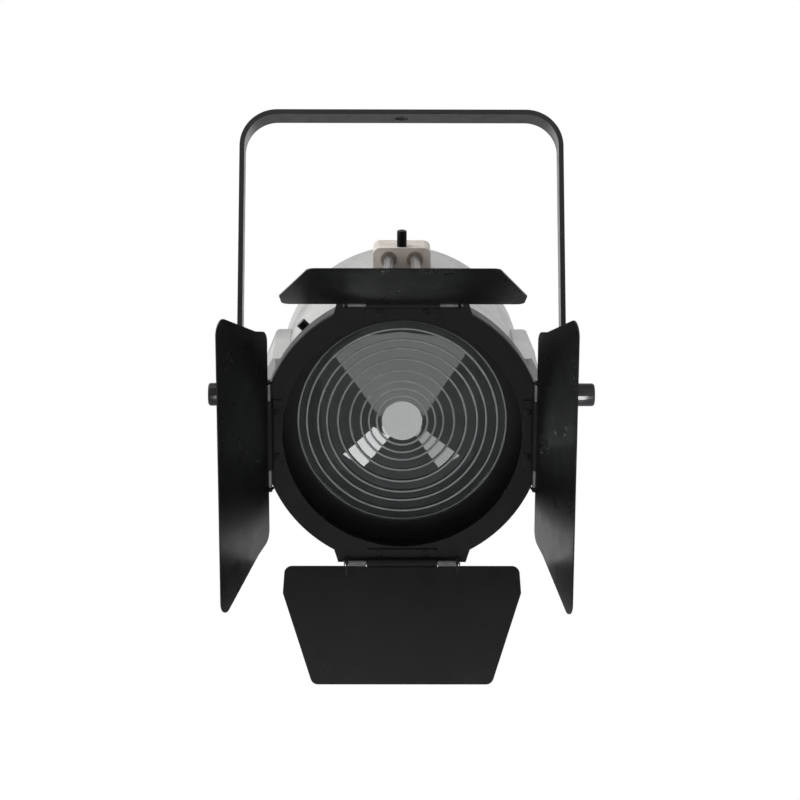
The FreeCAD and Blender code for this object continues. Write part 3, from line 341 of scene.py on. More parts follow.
# Zinc-plated mild steel: cool and slightly dulled, with a drawn grain.
ZINC = Finish(
    "zinc_plated_steel", "#9fa2a5", "#85888b", "#c4c6c8",
    patch_mm=12, bump_mm=0.5, bump_depth_mm=0.01, gloss=(0.28, 0.42), metallic=1.0, edge_wear_and_highlight_share=0.3,
    grain=(1.0, 1.0, 6.0),
)
# Spring steel rubbed half bright: warm grey, with a drawn grain.
SPRING_STEEL = Finish(
    "rubbed_spring_steel", "#8a8987", "#72716f", "#a8a8a6",
    patch_mm=8, bump_mm=0.5, bump_depth_mm=0.01, gloss=(0.3, 0.45), metallic=0.9, edge_wear_and_highlight_share=0.5,
    grain=(1.0, 1.0, 5.0),
)
# Black-oxide screws: almost black, oily.
BLACK_SCREW = Finish(
    "black_oxide_steel", "#1d1d1e", "#262627", "#4c4c4c",
    patch_mm=5, bump_mm=0.5, bump_depth_mm=0.01, gloss=(0.4, 0.55), metallic=0.6, edge_wear_and_highlight_share=0.4,
)
# Sintered bronze: greyed brown, slightly porous and oily.
BRONZE = Finish(
    "sintered_bronze", "#a3978f", "#8b7f76", "#b9ada4",
    patch_mm=5, bump_mm=0.5, bump_depth_mm=0.02, gloss=(0.4, 0.55), metallic=0.7, edge_wear_and_highlight_share=0.4,
)
# Moulded phenolic: hard and black, with faint but clear reflections.
PHENOLIC = Finish(
    "moulded_black_phenolic", "#101011", "#161617", "#303030",
    patch_mm=20, bump_mm=1.5, bump_depth_mm=0.006, gloss=(0.14, 0.22), ior=1.6, specular=0.07, edge_wear_and_highlight_share=0.2,
)
# Steatite ceramic: off-white, fine, faintly glazed.
STEATITE = Finish(
    "glazed_steatite", "#dcd6c8", "#cfc8b8", "#efeae0",
    patch_mm=10, bump_mm=0.8, bump_depth_mm=0.02, gloss=(0.25, 0.4), edge_wear_and_highlight_share=0.2,
)
# Silicone rubber with graphite: dark and matt.
GASKET = Finish(
    "moulded_graphite_silicone", "#1c1b1b", "#242323", "#333231",
    patch_mm=12, bump_mm=0.7, bump_depth_mm=0.02, gloss=(0.6, 0.75), specular=0.25, edge_wear_and_highlight_share=0.1,
)
# Friction fibre: dark brown, with short fibres.
FIBRE = Finish(
    "pressed_friction_fibre", "#2e2824", "#25201d", "#463d34",
    patch_mm=4, bump_mm=0.6, bump_depth_mm=0.05, gloss=(0.65, 0.85), edge_wear_and_highlight_share=0.3,
)
# Anodised, polished aluminium of the reflector, dulled by use.
POLISHED = Finish(
    "polished_anodised_aluminium", "#bfc0c1", "#a9abad", "#dadada",
    patch_mm=18, bump_mm=2.0, bump_depth_mm=0.004, gloss=(0.12, 0.2), metallic=1.0, edge_wear_and_highlight_share=0.1,
)


@dataclass(frozen=True)
class Glass:
    """A moulded glass. Its faint tint and stipple come from pressing it in an iron mould.

    tint and deep are its two mottled colours, clear is the share of light that goes into it, and sheen
    tints what its face mirrors.
    """

    name: str
    tint: str
    roughness: tuple[float, float]
    stipple_mm: float
    stipple_depth_mm: float
    deep: str = "#f4f7f6"
    clear: float = 1.0
    sheen: str = "#ffffff"

    def material(self) -> bpy.types.Material:
        """Builds the glass once and gives it back after that.

        Returns:
            The glass as a material.
        """
        known = bpy.data.materials.get(self.name)
        if known:
            return known
        made = bpy.data.materials.new(self.name)
        made.use_nodes = True
        tree = made.node_tree
        shader = tree.nodes["Principled BSDF"]
        shader.inputs["Transmission Weight"].default_value = self.clear
        shader.inputs["IOR"].default_value = GLASS_IOR
        shader.inputs["Specular Tint"].default_value = linear(self.sheen)
        shade = spread(tree, mottle(tree, 30.0), (0.35, 0.65), (0.0, 1.0))
        tree.links.new(blend_colours(tree, shade, self.tint, self.deep), shader.inputs["Base Color"])
        haze = spread(tree, mottle(tree, 9.0), (0.3, 0.7), self.roughness)
        tree.links.new(haze, shader.inputs["Roughness"])
        where = add_node(tree, "ShaderNodeTexCoord").outputs["Object"]
        scale = {"Scale": 1 / (self.stipple_mm * MM)}
        dimples = add_node(tree, "ShaderNodeTexVoronoi", scale, {"Vector": where})
        depth = {"Strength": 1.0, "Distance": self.stipple_depth_mm * MM}
        bump = add_node(tree, "ShaderNodeBump", depth, {"Height": dimples.outputs["Distance"]})
        tree.links.new(bump.outputs[0], shader.inputs["Normal"])
        return made


# Borosilicate, pressed and fire-polished, over a dark lamphouse, with clear facets: its dark, mostly opaque
# colour is painted shade, standing in for the shaded lamphouse seen through it.
LENS_GLASS_PAINTED_SHADE = Glass(
    "pressed_borosilicate_painted_shade",
    tint="#2a2c2c", roughness=(0.012, 0.025), stipple_mm=2.5, stipple_depth_mm=0.0005, deep="#222424",
    clear=0.3, sheen="#a8aaaa",
)
# The lens's back, stippled in the mould to soften the beam.
LENS_BACK = Glass(
    "stippled_borosilicate",
    tint="#8f9494", roughness=(0.13, 0.18), stipple_mm=1.6, stipple_depth_mm=0.006, deep="#a2a7a7",
    clear=0.9, sheen="#a8aaaa",
)
# Quartz of the lamp's bulb: clear and thin.
QUARTZ = Glass(
    "drawn_quartz",
    tint="#eef1f1", roughness=(0.0, 0.02), stipple_mm=6.0, stipple_depth_mm=0.002,
)
# The lens's crests: an opaque, even grey line all round, a painted highlight standing in for the light that
# the crests catch.
LENS_CREST_PAINTED_HIGHLIGHT = Finish(
    "crest_painted_highlight_grey", "#2f3232", "#3a3d3d", "#484b4b",
    patch_mm=9, bump_mm=0.6, bump_depth_mm=0.01, gloss=(0.3, 0.4), ior=GLASS_IOR, specular=0.3, edge_wear_and_highlight_share=0.1,
)


# --- shapes -------------------------------------------------------------------------------------------


@dataclass
class HeadFrame:
    """The tipped head's own frame: across, forward along the lens axis, and up."""

    centre: Vector
    forward: Vector

    @property
    def up(self) -> Vector:
        """The head's upward direction."""
        return self.forward.cross(Vector((1, 0, 0)))

    def matrix(self) -> Matrix:
        """The matrix that carries (across, -forward, up) in metres to the row frame."""
        turn = Matrix((Vector((1, 0, 0)), -self.forward, self.up)).transposed()
        return Matrix.Translation(self.centre) @ turn.to_4x4()

    @classmethod
    def of(cls, joints: list[dict]) -> "HeadFrame":
        """Reads the frame from the joints.

        Args:
            joints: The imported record's joints.

        Returns:
            The head's frame at rest.
        """
        by_name = {joint["name"]: joint for joint in joints}
        forward = Vector(by_name["barn_ring_turn"]["axis"]).normalized()
        return cls(Vector(by_name["head_tilt"]["pos_m"]), forward)


def mesh_piece(
    name: str, shape: bmesh.types.BMesh, place: Matrix, finishes: list[Finish | Glass]
) -> bpy.types.Object:
    """Makes a shaded piece from a finished bmesh.

    Args:
        name: The piece's name.
        shape: The mesh in its own frame; it is freed.
        place: The matrix that carries it to the row frame.
        finishes: What it is made of, in the order of its faces' material numbers.

    Returns:
        The new object, with its place in its mesh.
    """
    bmesh.ops.recalc_face_normals(shape, faces=shape.faces)
    for face in shape.faces:
        face.smooth = True
    for edge in shape.edges:
        faces = edge.link_faces
        if len(faces) == 2 and (faces[0].material_index != faces[1].material_index
                                or faces[0].normal.angle(faces[1].normal, 0.0) > SHARP_ANGLE):
            edge.smooth = False
    data = bpy.data.meshes.new(name)
    shape.to_mesh(data)
    shape.free()
    data.transform(place)
    for finish in finishes:
        data.materials.append(finish.material())
    made = bpy.data.objects.new(name, data)
    bpy.context.scene.collection.objects.link(made)
    LOG.info("piece %s: %d faces", name, len(data.polygons))
    return made


def stand_for(piece: bpy.types.Object, node: str, body: str) -> None:
    """Lets a piece take a plain solid's place.

    Args:
        piece: The detailed piece.
        node: The solid that it stands for.
        body: The body that it moves with.
    """
    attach(piece, body)
    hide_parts(node)


# How wide the arms of a cross recess are, as a share of its radius.
CROSS_ARM = 0.24
# A grip's ribs, and how deep the grooves between them go as a share of the radius.
RIBS = 20
RIB_DEPTH = 0.012


class Outline(Enum):
    """The shape of one ring of a turned piece."""

    ROUND = "round"
    HEXAGON = "hexagon"
    CROSS = "cross"
    RIBBED = "ribbed"

    def reach(self, turn: float) -> float:
        """The outline's radius as a share of the round one's.

        Args:
            turn: The angle round the axis in radians.

        Returns:
            A share of 1 or less.
        """
        if self is Outline.HEXAGON:
            return math.cos(math.pi / 6) / math.cos((turn % (math.pi / 3)) - math.pi / 6)
        if self is Outline.CROSS:
            narrow = min(abs(math.cos(turn)), abs(math.sin(turn)))
            return min(1.0, CROSS_ARM / max(narrow, 1e-6))
        if self is Outline.RIBBED:
            return 1.0 - RIB_DEPTH * (0.5 - 0.5 * math.cos(RIBS * turn)) ** 2
        return 1.0


@dataclass(frozen=True)
class Ring:
    """One ring of a turned piece: radius and height in metres, and its outline.

    material is that of the band after it. A crisp ring is a sharp edge, whatever its angle.
    """

    radius: float
    height: float
    outline: Outline = Outline.ROUND
    material: int = 0
    crisp: bool = False


def spun(profile: list[Ring], segments: int) -> bmesh.types.BMesh:
    """Turns a closed profile about the local Z axis.

    Args:
        profile: The rings in order, not repeating the first.
        segments: How many steps go round.

    Returns:
        The turned mesh.
    """
    shape = bmesh.new()
    loops = []
    for ring in profile:
        if ring.radius < 1e-7:
            loops.append([shape.verts.new((0, 0, ring.height))])
            continue
        loop = []
        for step in range(segments):
            turn = 2 * math.pi * step / segments
            reach = ring.radius * ring.outline.reach(turn)
            loop.append(shape.verts.new((reach * math.cos(turn), reach * math.sin(turn), ring.height)))
        loops.append(loop)
    for index, ring in enumerate(profile):
        here, after = loops[index], loops[(index + 1) % len(loops)]
        for step in range(segments):
            corners = [here[step % len(here)], here[(step + 1) % len(here)],
                       after[(step + 1) % len(after)], after[step % len(after)]]
            unique = list(dict.fromkeys(corners))
            if len(unique) > 2:
                shape.faces.new(unique).material_index = ring.material
            if ring.crisp:
                shape.edges.get(corners[:2]).smooth = False
    return shape


def merged(parts: list[tuple[bmesh.types.BMesh, Matrix]]) -> bmesh.types.BMesh:
    """Puts several meshes into one.

    Args:
        parts: Each mesh with the matrix that places it; the meshes are freed.

    Returns:
        One mesh that holds them all.
    """
    whole = bmesh.new()
    for shape, place in parts:
        bmesh.ops.transform(shape, matrix=place, verts=shape.verts)
        data = bpy.data.meshes.new("one_part")
        shape.to_mesh(data)
        shape.free()
        whole.from_mesh(data)
        bpy.data.meshes.remove(data)
    return whole


def facing(at: Vector, axis: Vector) -> Matrix:
    """A matrix that stands a turned piece on a point, its Z along an axis."""
    return Matrix.Translation(at) @ axis.to_track_quat("Z", "Y").to_matrix().to_4x4()


def left_end(solid: list[Vector]) -> tuple[float, float]:
    """A solid's left end and bottom, rounded so that like solids keep their order."""
    return round(min(c.x for c in solid), 5), round(min(c.z for c in solid), 5)


def solids_in(node: bpy.types.Object) -> list[list[Vector]]:
    """Splits a node into its separate solids.

    Args:
        node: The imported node's object.

    Returns:
        The corners of each solid, from left to right.
    """
    shape = bmesh.new()
    shape.from_mesh(node.data)
    bmesh.ops.remove_doubles(shape, verts=shape.verts, dist=2e-6)
    left = set(shape.verts)
    found = []
    while left:
        rim = [left.pop()]
        solid = []
        while rim:
            corner = rim.pop()
            solid.append(corner.co.copy())
            for edge in corner.link_edges:
                other = edge.other_vert(corner)
                if other in left:
                    left.remove(other)
                    rim.append(other)
        found.append(solid)
    shape.free()
    return sorted(found, key=left_end)


# --- sub-assemblies -----------------------------------------------------------------------------------

# The finish of each node that is kept as it is packed.
BASE_FINISH = {
    "yoke_bracket": YOKE_POWDER, "friction_discs": FIBRE, "knob_washers": ZINC,
    "front_barrel": BLACK_POWDER, "rear_housing": GREY_ENAMEL, "rear_cap": GREY_ENAMEL,
    "side_cheek_left": GREY_ENAMEL, "side_cheek_right": GREY_ENAMEL, "vent_grille": BLACK_POWDER,
    "vent_frame": HEAT_BLACK, "pivot_hub_left": YOKE_POWDER, "pivot_hub_right": YOKE_POWDER,
    "pivot_studs": ZINC, "lens_bezel": BLACK_POWDER, "lens_gasket": GASKET, "lens_seat": HEAT_BLACK,
    "lens_clips": SPRING_STEEL, "focus_rods": SPRING_STEEL, "rod_support_front": SLIDE_ENAMEL_PAINTED_LIGHT,
    "rod_support_rear": SLIDE_ENAMEL_PAINTED_LIGHT, "cable_gland": PHENOLIC, "safety_eye": ZINC,
    "terminal_block": STEATITE, "lens_catch": PHENOLIC, "focus_slider": SLIDE_ENAMEL_PAINTED_LIGHT,
    "slider_bushes": BRONZE, "lamp_sled": HEAT_BLACK, "lamp_holder": STEATITE, "halogen_lamp": QUARTZ,
    "lamp_filament": ZINC, "lamp_reflector": POLISHED, "focus_lock": PHENOLIC, "barn_ring": BLACK_POWDER,
    "keeper_ring": BLACK_POWDER,
}


@dataclass
class CadDress:
    """Gives every carried-over node its finish."""

    nodes: dict[str, bpy.types.Object]

    def finish_for(self, node: str) -> Finish | Glass:
        """Finds a node's finish; leaves, brackets and pins go by the start of their names.

        Args:
            node: The node's name.

        Returns:
            Its finish.
        """
        if node.startswith("leaf_"):
            return LEAF_POWDER
        if node.startswith("hinge_bracket_"):
            return BLACK_POWDER
        if node.startswith("hinge_pin_"):
            return SPRING_STEEL
        return BASE_FINISH.get(node, ZINC)

    def dress(self) -> None:
        """Puts the finishes on."""
        for name, node in self.nodes.items():
            finish = self.finish_for(name)
            node.data.materials.clear()
            node.data.materials.append(finish.material())
            LOG.info("dressed %s as %s", name, finish.name)


@dataclass
class Softbox:
    """A diffusing panel as seen from one point: its corners by bearing and elevation in degrees.

    glow is how brightly it shines, and distance is how far from that point it hangs, in metres.
    """

    name: str
    corners: tuple[tuple[float, float], ...]
    glow: float
    distance: float = 1.3

    def build(self, piece: bpy.types.Object, eye: Vector) -> None:
        """Hangs the panel, hidden from the camera and throwing no shadow.

        Args:
            piece: The glossy piece that mirrors it.
            eye: The point that the panel faces.
        """
        points = []
        for bearing, elevation in self.corners:
            turn, rise = math.radians(bearing), math.radians(elevation)
            level = math.cos(rise)
            out = Vector((math.sin(turn) * level, -math.cos(turn) * level, math.sin(rise)))
            points.append(eye + out * self.distance)
        data = bpy.data.meshes.new(self.name)
        data.from_pydata(points, [], [tuple(range(len(points)))])
        middle = sum(points, Vector()) / len(points)
        if data.polygons[0].normal.dot(eye - middle) < 0:
            data.flip_normals()
        data.materials.append(self.cloth())
        panel = bpy.data.objects.new(self.name, data)
        bpy.context.scene.collection.objects.link(panel)
        panel.visible_camera = False
        panel.visible_shadow = False
        mirrors = bpy.data.collections.new(f"mirrors_{self.name}")
        mirrors.objects.link(piece)
        panel.light_linking.receiver_collection = mirrors

    def cloth(self) -> bpy.types.Material:
        """Makes the panel's glowing cloth: light from its face, nothing from its back.

        Returns:
            The cloth as a material.
        """
        made = bpy.data.materials.new(f"diffusion_cloth_{self.name}")
        made.use_nodes = True
        tree = made.node_tree
        tree.nodes.clear()
        back = add_node(tree, "ShaderNodeNewGeometry").outputs["Backfacing"]
        clear = add_node(tree, "ShaderNodeBsdfTransparent")
        light = add_node(tree, "ShaderNodeEmission", {"Color": (1, 1, 1, 1), "Strength": self.glow})
        face = add_node(tree, "ShaderNodeAddShader", None, {0: clear.outputs[0], 1: light.outputs[0]})
        sides = {0: back, 1: face.outputs[0], 2: clear.outputs[0]}
        both = add_node(tree, "ShaderNodeMixShader", None, sides)
        add_node(tree, "ShaderNodeOutputMaterial", None, {0: both.outputs[0]})
        return made


# The panels that the lens mirrors: a wide one low in front, two strips and a small bright one.
LENS_PANELS = (
    Softbox(
        "front_panel",
        (
            (-12.0, -43.0), (-20.5, -29.0), (-28.5, -14.5), (-15.0, -9.0), (0.0, -7.5),
            (15.0, -9.0), (27.5, -13.5), (20.5, -28.0), (12.5, -43.0),
        ),
        glow=6.8,
    ),
    Softbox(
        "left_strip",
        ((-16.1, -47.3), (-7.5, -52.5), (-32.9, -63.2), (-40.6, -55.0)),
        glow=37.0,
        distance=1.15,
    ),
    Softbox(
        "right_strip",
        ((15.4, -49.0), (10.4, -52.4), (33.6, -63.4), (41.8, -55.2)),
        glow=17.0,
        distance=1.15,
    ),
    Softbox("middle_square", ((-5.0, -42.0), (6.0, -42.0), (6.0, -50.0), (-5.0, -50.0)), glow=24.0),
)
# The panel below each knob, which draws a soft bright line along its underside.
KNOB_PANEL_CORNERS = ((-14.0, -26.0), (14.0, -26.0), (18.0, -68.0), (-18.0, -68.0))
KNOB_PANELS = {
    Side.LEFT: Softbox("left_knob_panel", KNOB_PANEL_CORNERS, glow=50.0, distance=0.9),
    Side.RIGHT: Softbox("right_knob_panel", KNOB_PANEL_CORNERS, glow=95.0, distance=0.9),
}


@dataclass
class StepLens:
    """The pressed lens: a flat polished centre and rings sliced from a ball, each crest an opaque grey line
    that is a painted highlight.

    back is the lens's distance from the tilt axis, ball the radius that its facets are sliced from, disc
    the flat centre's radius, and crests are the radii of the rings' inner edges in millimetres.
    """

    head: HeadFrame
    radius: float = 104.5 * MM
    back: float = 79.5 * MM
    thick: float = 8.0 * MM
    ball: float = 320.0 * MM
    disc: float = 19.5 * MM
    crest_width: float = 2.0 * MM
    riser_lean: float = 0.25 * MM
    riser_depth: float = 0.45 * MM
    facet_sink: float = 0.05 * MM
    crests: tuple[float, ...] = (23.4, 31.1, 38.9, 49.5, 61.1, 71.7, 80.4, 91.1, 99.4)
    facet_steps: int = 4
    segments: int = 288

    def fall(self, inner: float, outer: float, at: float) -> float:
        """How far a facet has fallen from its crest.

        Args:
            inner: The facet's inner radius.
            outer: The facet's outer radius.
            at: The radius in question.

        Returns:
            The fall in metres, on a ball's slope.
        """
        held = min(max(at, inner), outer)
        return math.sqrt(self.ball**2 - inner**2) - math.sqrt(self.ball**2 - held**2)

    def profile(self) -> list[Ring]:
        """Works out the half section, from the middle of the back to the middle of the front and out.

        Returns:
            The section's rings; material 1 is the lens's back and 2 its crests.
        """
        top = self.back + self.thick
        riser = top - self.riser_depth
        rings = [Ring(0.0, self.back, material=1), Ring(0.0, top), Ring(self.disc, top, crisp=True)]
        edges = [self.disc] + [crest * MM for crest in self.crests] + [self.radius]
        for inner, outer in zip(edges[:-2], edges[1:-1]):
            if inner > self.disc:
                rings.append(Ring(inner - self.riser_lean * 0.2, riser, material=2))
                rings.append(Ring(inner + 0.1 * MM, top - 0.12 * MM, material=2))
                rings.append(Ring(inner + 0.4 * MM, top, material=2))
                rings.append(Ring(inner + self.crest_width * 0.7, top - 0.03 * MM, material=2))
            start = inner + (self.crest_width if inner > self.disc else 0.0)
            first = 0 if inner > self.disc else 1
            for step in range(first, self.facet_steps + 1):
                at = start + (outer - self.riser_lean - start) * step / self.facet_steps
                rings.append(Ring(at, top - self.facet_sink - self.fall(inner, outer, at)))
        last = edges[-2]
        rings += [
            Ring(last, riser, material=2), Ring(last + 0.5 * MM, top, material=2),
            Ring(last + self.crest_width, top - self.facet_sink), Ring(self.radius, top - 0.3 * MM),
            Ring(self.radius, self.back, material=1),
        ]
        return rings

    def build(self) -> None:
        """Makes the lens in place of the plain one, and hangs the panels that it mirrors."""
        shape = spun(self.profile(), self.segments)
        place = self.head.matrix() @ Matrix.Rotation(math.radians(90), 4, "X")
        lens = mesh_piece("step_lens", shape, place, [LENS_GLASS_PAINTED_SHADE, LENS_BACK, LENS_CREST_PAINTED_HIGHLIGHT])
        stand_for(lens, "fresnel_lens", "head")
        front = self.head.centre + self.head.forward * (self.back + self.thick)
        for panel in LENS_PANELS:
            panel.build(lens, front)


@dataclass
class TiltKnob:
    """A phenolic hand knob with a ribbed grip, rounded ends and a hollowed face."""

    side: Side
    bore: float = 5.05 * MM
    edge: float = 1.5 * MM
    hollow: float = 1.6 * MM

    def build(self) -> None:
        """Makes the knob in place of the plain one, and hangs the panel that it mirrors."""
        node = f"tilt_knob_{self.side.name.lower()}"
        low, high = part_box(node)
        length = high.x - low.x
        radius = (high.z - low.z) / 2
        start = (low + high) / 2
        start.x = low.x if self.side is Side.RIGHT else high.x
        outward = Vector((self.side.value, 0, 0))
        edge = self.edge
        profile = [
            Ring(self.bore, 0.0), Ring(radius - edge * 2, 0.0), Ring(radius - edge * 1.2, edge * 0.4),
            Ring(radius, edge * 1.6, Outline.RIBBED), Ring(radius, length * 0.5, Outline.RIBBED),
            Ring(radius, length - edge * 1.8, Outline.RIBBED),
            Ring(radius - edge * 0.3, length - edge * 0.8), Ring(radius - edge, length - edge * 0.2),
            Ring(radius - edge * 1.6, length), Ring(radius * 0.62, length),
            Ring(radius * 0.55, length - self.hollow), Ring(self.bore, length - self.hollow),
        ]
        knob = mesh_piece(f"grip_{node}", spun(profile, 128), facing(start, outward), [PHENOLIC])
        stand_for(knob, node, node)
        KNOB_PANELS[self.side].build(knob, start + outward * (length / 2))


@dataclass
class LockKnob:
    """The small ribbed knob that locks the focus slide."""

    head: HeadFrame
    radius: float = 4.9 * MM

    def build(self, nodes: dict[str, bpy.types.Object]) -> None:
        """Makes the knob in place of the plain one.

        Args:
            nodes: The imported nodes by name.
        """
        corners = [vertex.co for vertex in nodes["focus_lock"].data.vertices]
        up = self.head.up
        low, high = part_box("focus_lock")
        middle = (low + high) / 2
        radius = self.radius
        levels = [(corner - middle).dot(up) for corner in corners]
        spans = [(corner - middle - up * level).length for corner, level in zip(corners, levels)]
        base, top = min(levels), max(levels)
        foot = min(level for level, span in zip(levels, spans) if span > radius * 0.95)
        between = [span for level, span in zip(levels, spans) if base < level < foot - 0.5 * MM]
        stem = min(between) if base < foot - 0.5 * MM else radius
        profile = [Ring(0.0, base)]
        if stem < radius * 0.95:
            profile += [Ring(stem, base), Ring(stem, foot)]
        profile += [
            Ring(radius - 0.6 * MM, foot), Ring(radius, foot + 0.6 * MM, Outline.RIBBED),
            Ring(radius, top - 1.4 * MM, Outline.RIBBED), Ring(radius - 0.35 * MM, top - 0.5 * MM),
            Ring(radius - 1.2 * MM, top), Ring(radius * 0.45, top), Ring(radius * 0.4, top - 0.5 * MM),
            Ring(0.0, top - 0.5 * MM),
        ]
        knob = mesh_piece("grip_focus_lock", spun(profile, 96), facing(middle, up), [PHENOLIC])
        stand_for(knob, "focus_lock", "focus_lock")


@dataclass
class NotchHem:
    """The folded hem round a leaf's notch, which keeps stray light from passing beside the hinge bracket.

    Sizes are from the hinge's axis: half along it, inner and outer across it, and edge where the sides
    start.
    """

    quarter: Quarter
    half: float = 35.9 * MM
    side: float = 1.6 * MM
    inner: float = 4.05 * MM
    outer: float = 5.5 * MM
    edge: float = 2.95 * MM
    thick: float = 1.7 * MM

    def build(self, nodes: dict[str, bpy.types.Object], joints: dict[str, dict]) -> None:
        """Makes the hem and lets it ride on its leaf.

        Args:
            nodes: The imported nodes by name.
            joints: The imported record's joints by name.
        """
        leaf = f"leaf_{self.quarter.value}"
        hinge = joints[f"{leaf}_hinge"]
        pivot, along = Vector(hinge["pos_m"]), Vector(hinge["axis"]).normalized()
        corners = [vertex.co - pivot for vertex in nodes[leaf].data.vertices]
        reach = max(((corner - along * corner.dot(along)) for corner in corners), key=lambda c: c.length)
        out = reach.normalized()
        place = Matrix.Translation(pivot) @ Matrix((along, out, along.cross(out))).transposed().to_4x4()
        hem = bmesh.new()
        start = self.half - self.side
        spans = [
            (-self.half, self.half, self.inner, self.outer),
            (-self.half, -start, self.edge, self.outer),
            (start, self.half, self.edge, self.outer),
        ]
        for left, right, low, high in spans:
            made = bmesh.ops.create_cube(hem, size=1.0)["verts"]
            for corner in made:
                corner.co = ((left + right) / 2 + corner.co.x * (right - left),
                             (low + high) / 2 + corner.co.y * (high - low), corner.co.z * self.thick)
        bmesh.ops.bevel(hem, geom=hem.edges[:], offset=0.4 * MM, segments=2, affect="EDGES")
        piece = mesh_piece(f"notch_hem_{self.quarter.value}", hem, place, [LEAF_POWDER])
        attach(piece, leaf)


@dataclass
class PinSleeves:
    """Two steel sleeves on a hinge's pin, which keep the leaf's ears apart from the bracket.

    near and far are a sleeve's ends along the hinge's axis, from its middle.
    """

    quarter: Quarter
    bore: float = 1.55 * MM
    radius: float = 2.7 * MM
    edge: float = 0.25 * MM
    near: float = 34.2 * MM
    far: float = 51.8 * MM

    def build(self, joints: dict[str, dict]) -> None:
        """Makes both sleeves as one piece that rides on the ring.

        Args:
            joints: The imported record's joints by name.
        """
        hinge = joints[f"leaf_{self.quarter.value}_hinge"]
        pivot, along = Vector(hinge["pos_m"]), Vector(hinge["axis"]).normalized()
        length = self.far - self.near
        flat = self.radius - self.edge
        profile = [
            Ring(self.bore, 0.0), Ring(flat, 0.0), Ring(self.radius, self.edge),
            Ring(self.radius, length - self.edge), Ring(flat, length), Ring(self.bore, length),
        ]
        tubes = [(spun(profile, 32), facing(pivot + out * self.near, out)) for out in (-along, along)]
        name = f"pin_sleeves_{self.quarter.value}"
        made = mesh_piece(name, merged(tubes), Matrix(), [SPRING_STEEL])
        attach(made, "barn_ring")


@dataclass
class Screws:
    """A set of equal pan-head screws with a recess, standing on the places of a node's solids.

    wall is the share of the head's height below its dome, and turn_on how far each screw's recess is turned
    on from the one before, in degrees.
    """

    node: str
    body: str
    axis: Vector
    recess: Outline
    finish: Finish
    slot: str = "plain_steel"
    wall: float = 0.35
    turn_on: float = 37.0

    def screw(self, corners: list[Vector]) -> tuple[bmesh.types.BMesh, Matrix]:
        """Makes one screw.

        Args:
            corners: The plain solid's corners.

        Returns:
            The mesh in its own frame, and where it stands.
        """
        middle = sum(corners, Vector()) / len(corners)
        levels = [(corner - middle).dot(self.axis) for corner in corners]
        spans = [(corner - middle - self.axis * level).length for corner, level in zip(corners, levels)]
        head = max(spans)
        top, base = max(levels), min(levels)
        seat = min(level for level, span in zip(levels, spans) if span > head * 0.97)
        below = seat - 0.2 * MM
        shank = min([span for level, span in zip(levels, spans) if level < below] or [head * 0.5])
        rise = top - seat
        profile = [Ring(0.0, base)]
        if base < below:
            profile += [Ring(shank, base), Ring(shank, seat)]
        profile += [Ring(head, seat), Ring(head, seat + rise * self.wall)]
        for step in (0.35, 0.7, 1.0):
            dome = self.wall + (1 - self.wall) * math.sin(step)
            profile.append(Ring(head * math.cos(step), seat + rise * dome))
        profile += [
            Ring(head * 0.5, top, self.recess), Ring(head * 0.46, top - rise * 0.55, self.recess),
            Ring(0.0, top - rise * 0.6),
        ]
        return spun(profile, 48), facing(middle, self.axis)

    def build(self, nodes: dict[str, bpy.types.Object]) -> None:
        """Makes all the set's screws as one piece.

        Args:
            nodes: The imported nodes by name.
        """
        screws = []
        for index, corners in enumerate(solids_in(nodes[self.node])):
            one, place = self.screw(corners)
            turn = Matrix.Rotation(math.radians(self.turn_on * index), 4, "Z")
            screws.append((one, place @ turn))
        made = mesh_piece(f"set_{self.node}", merged(screws), Matrix(), [self.finish])
        stand_for(made, self.node, self.body)


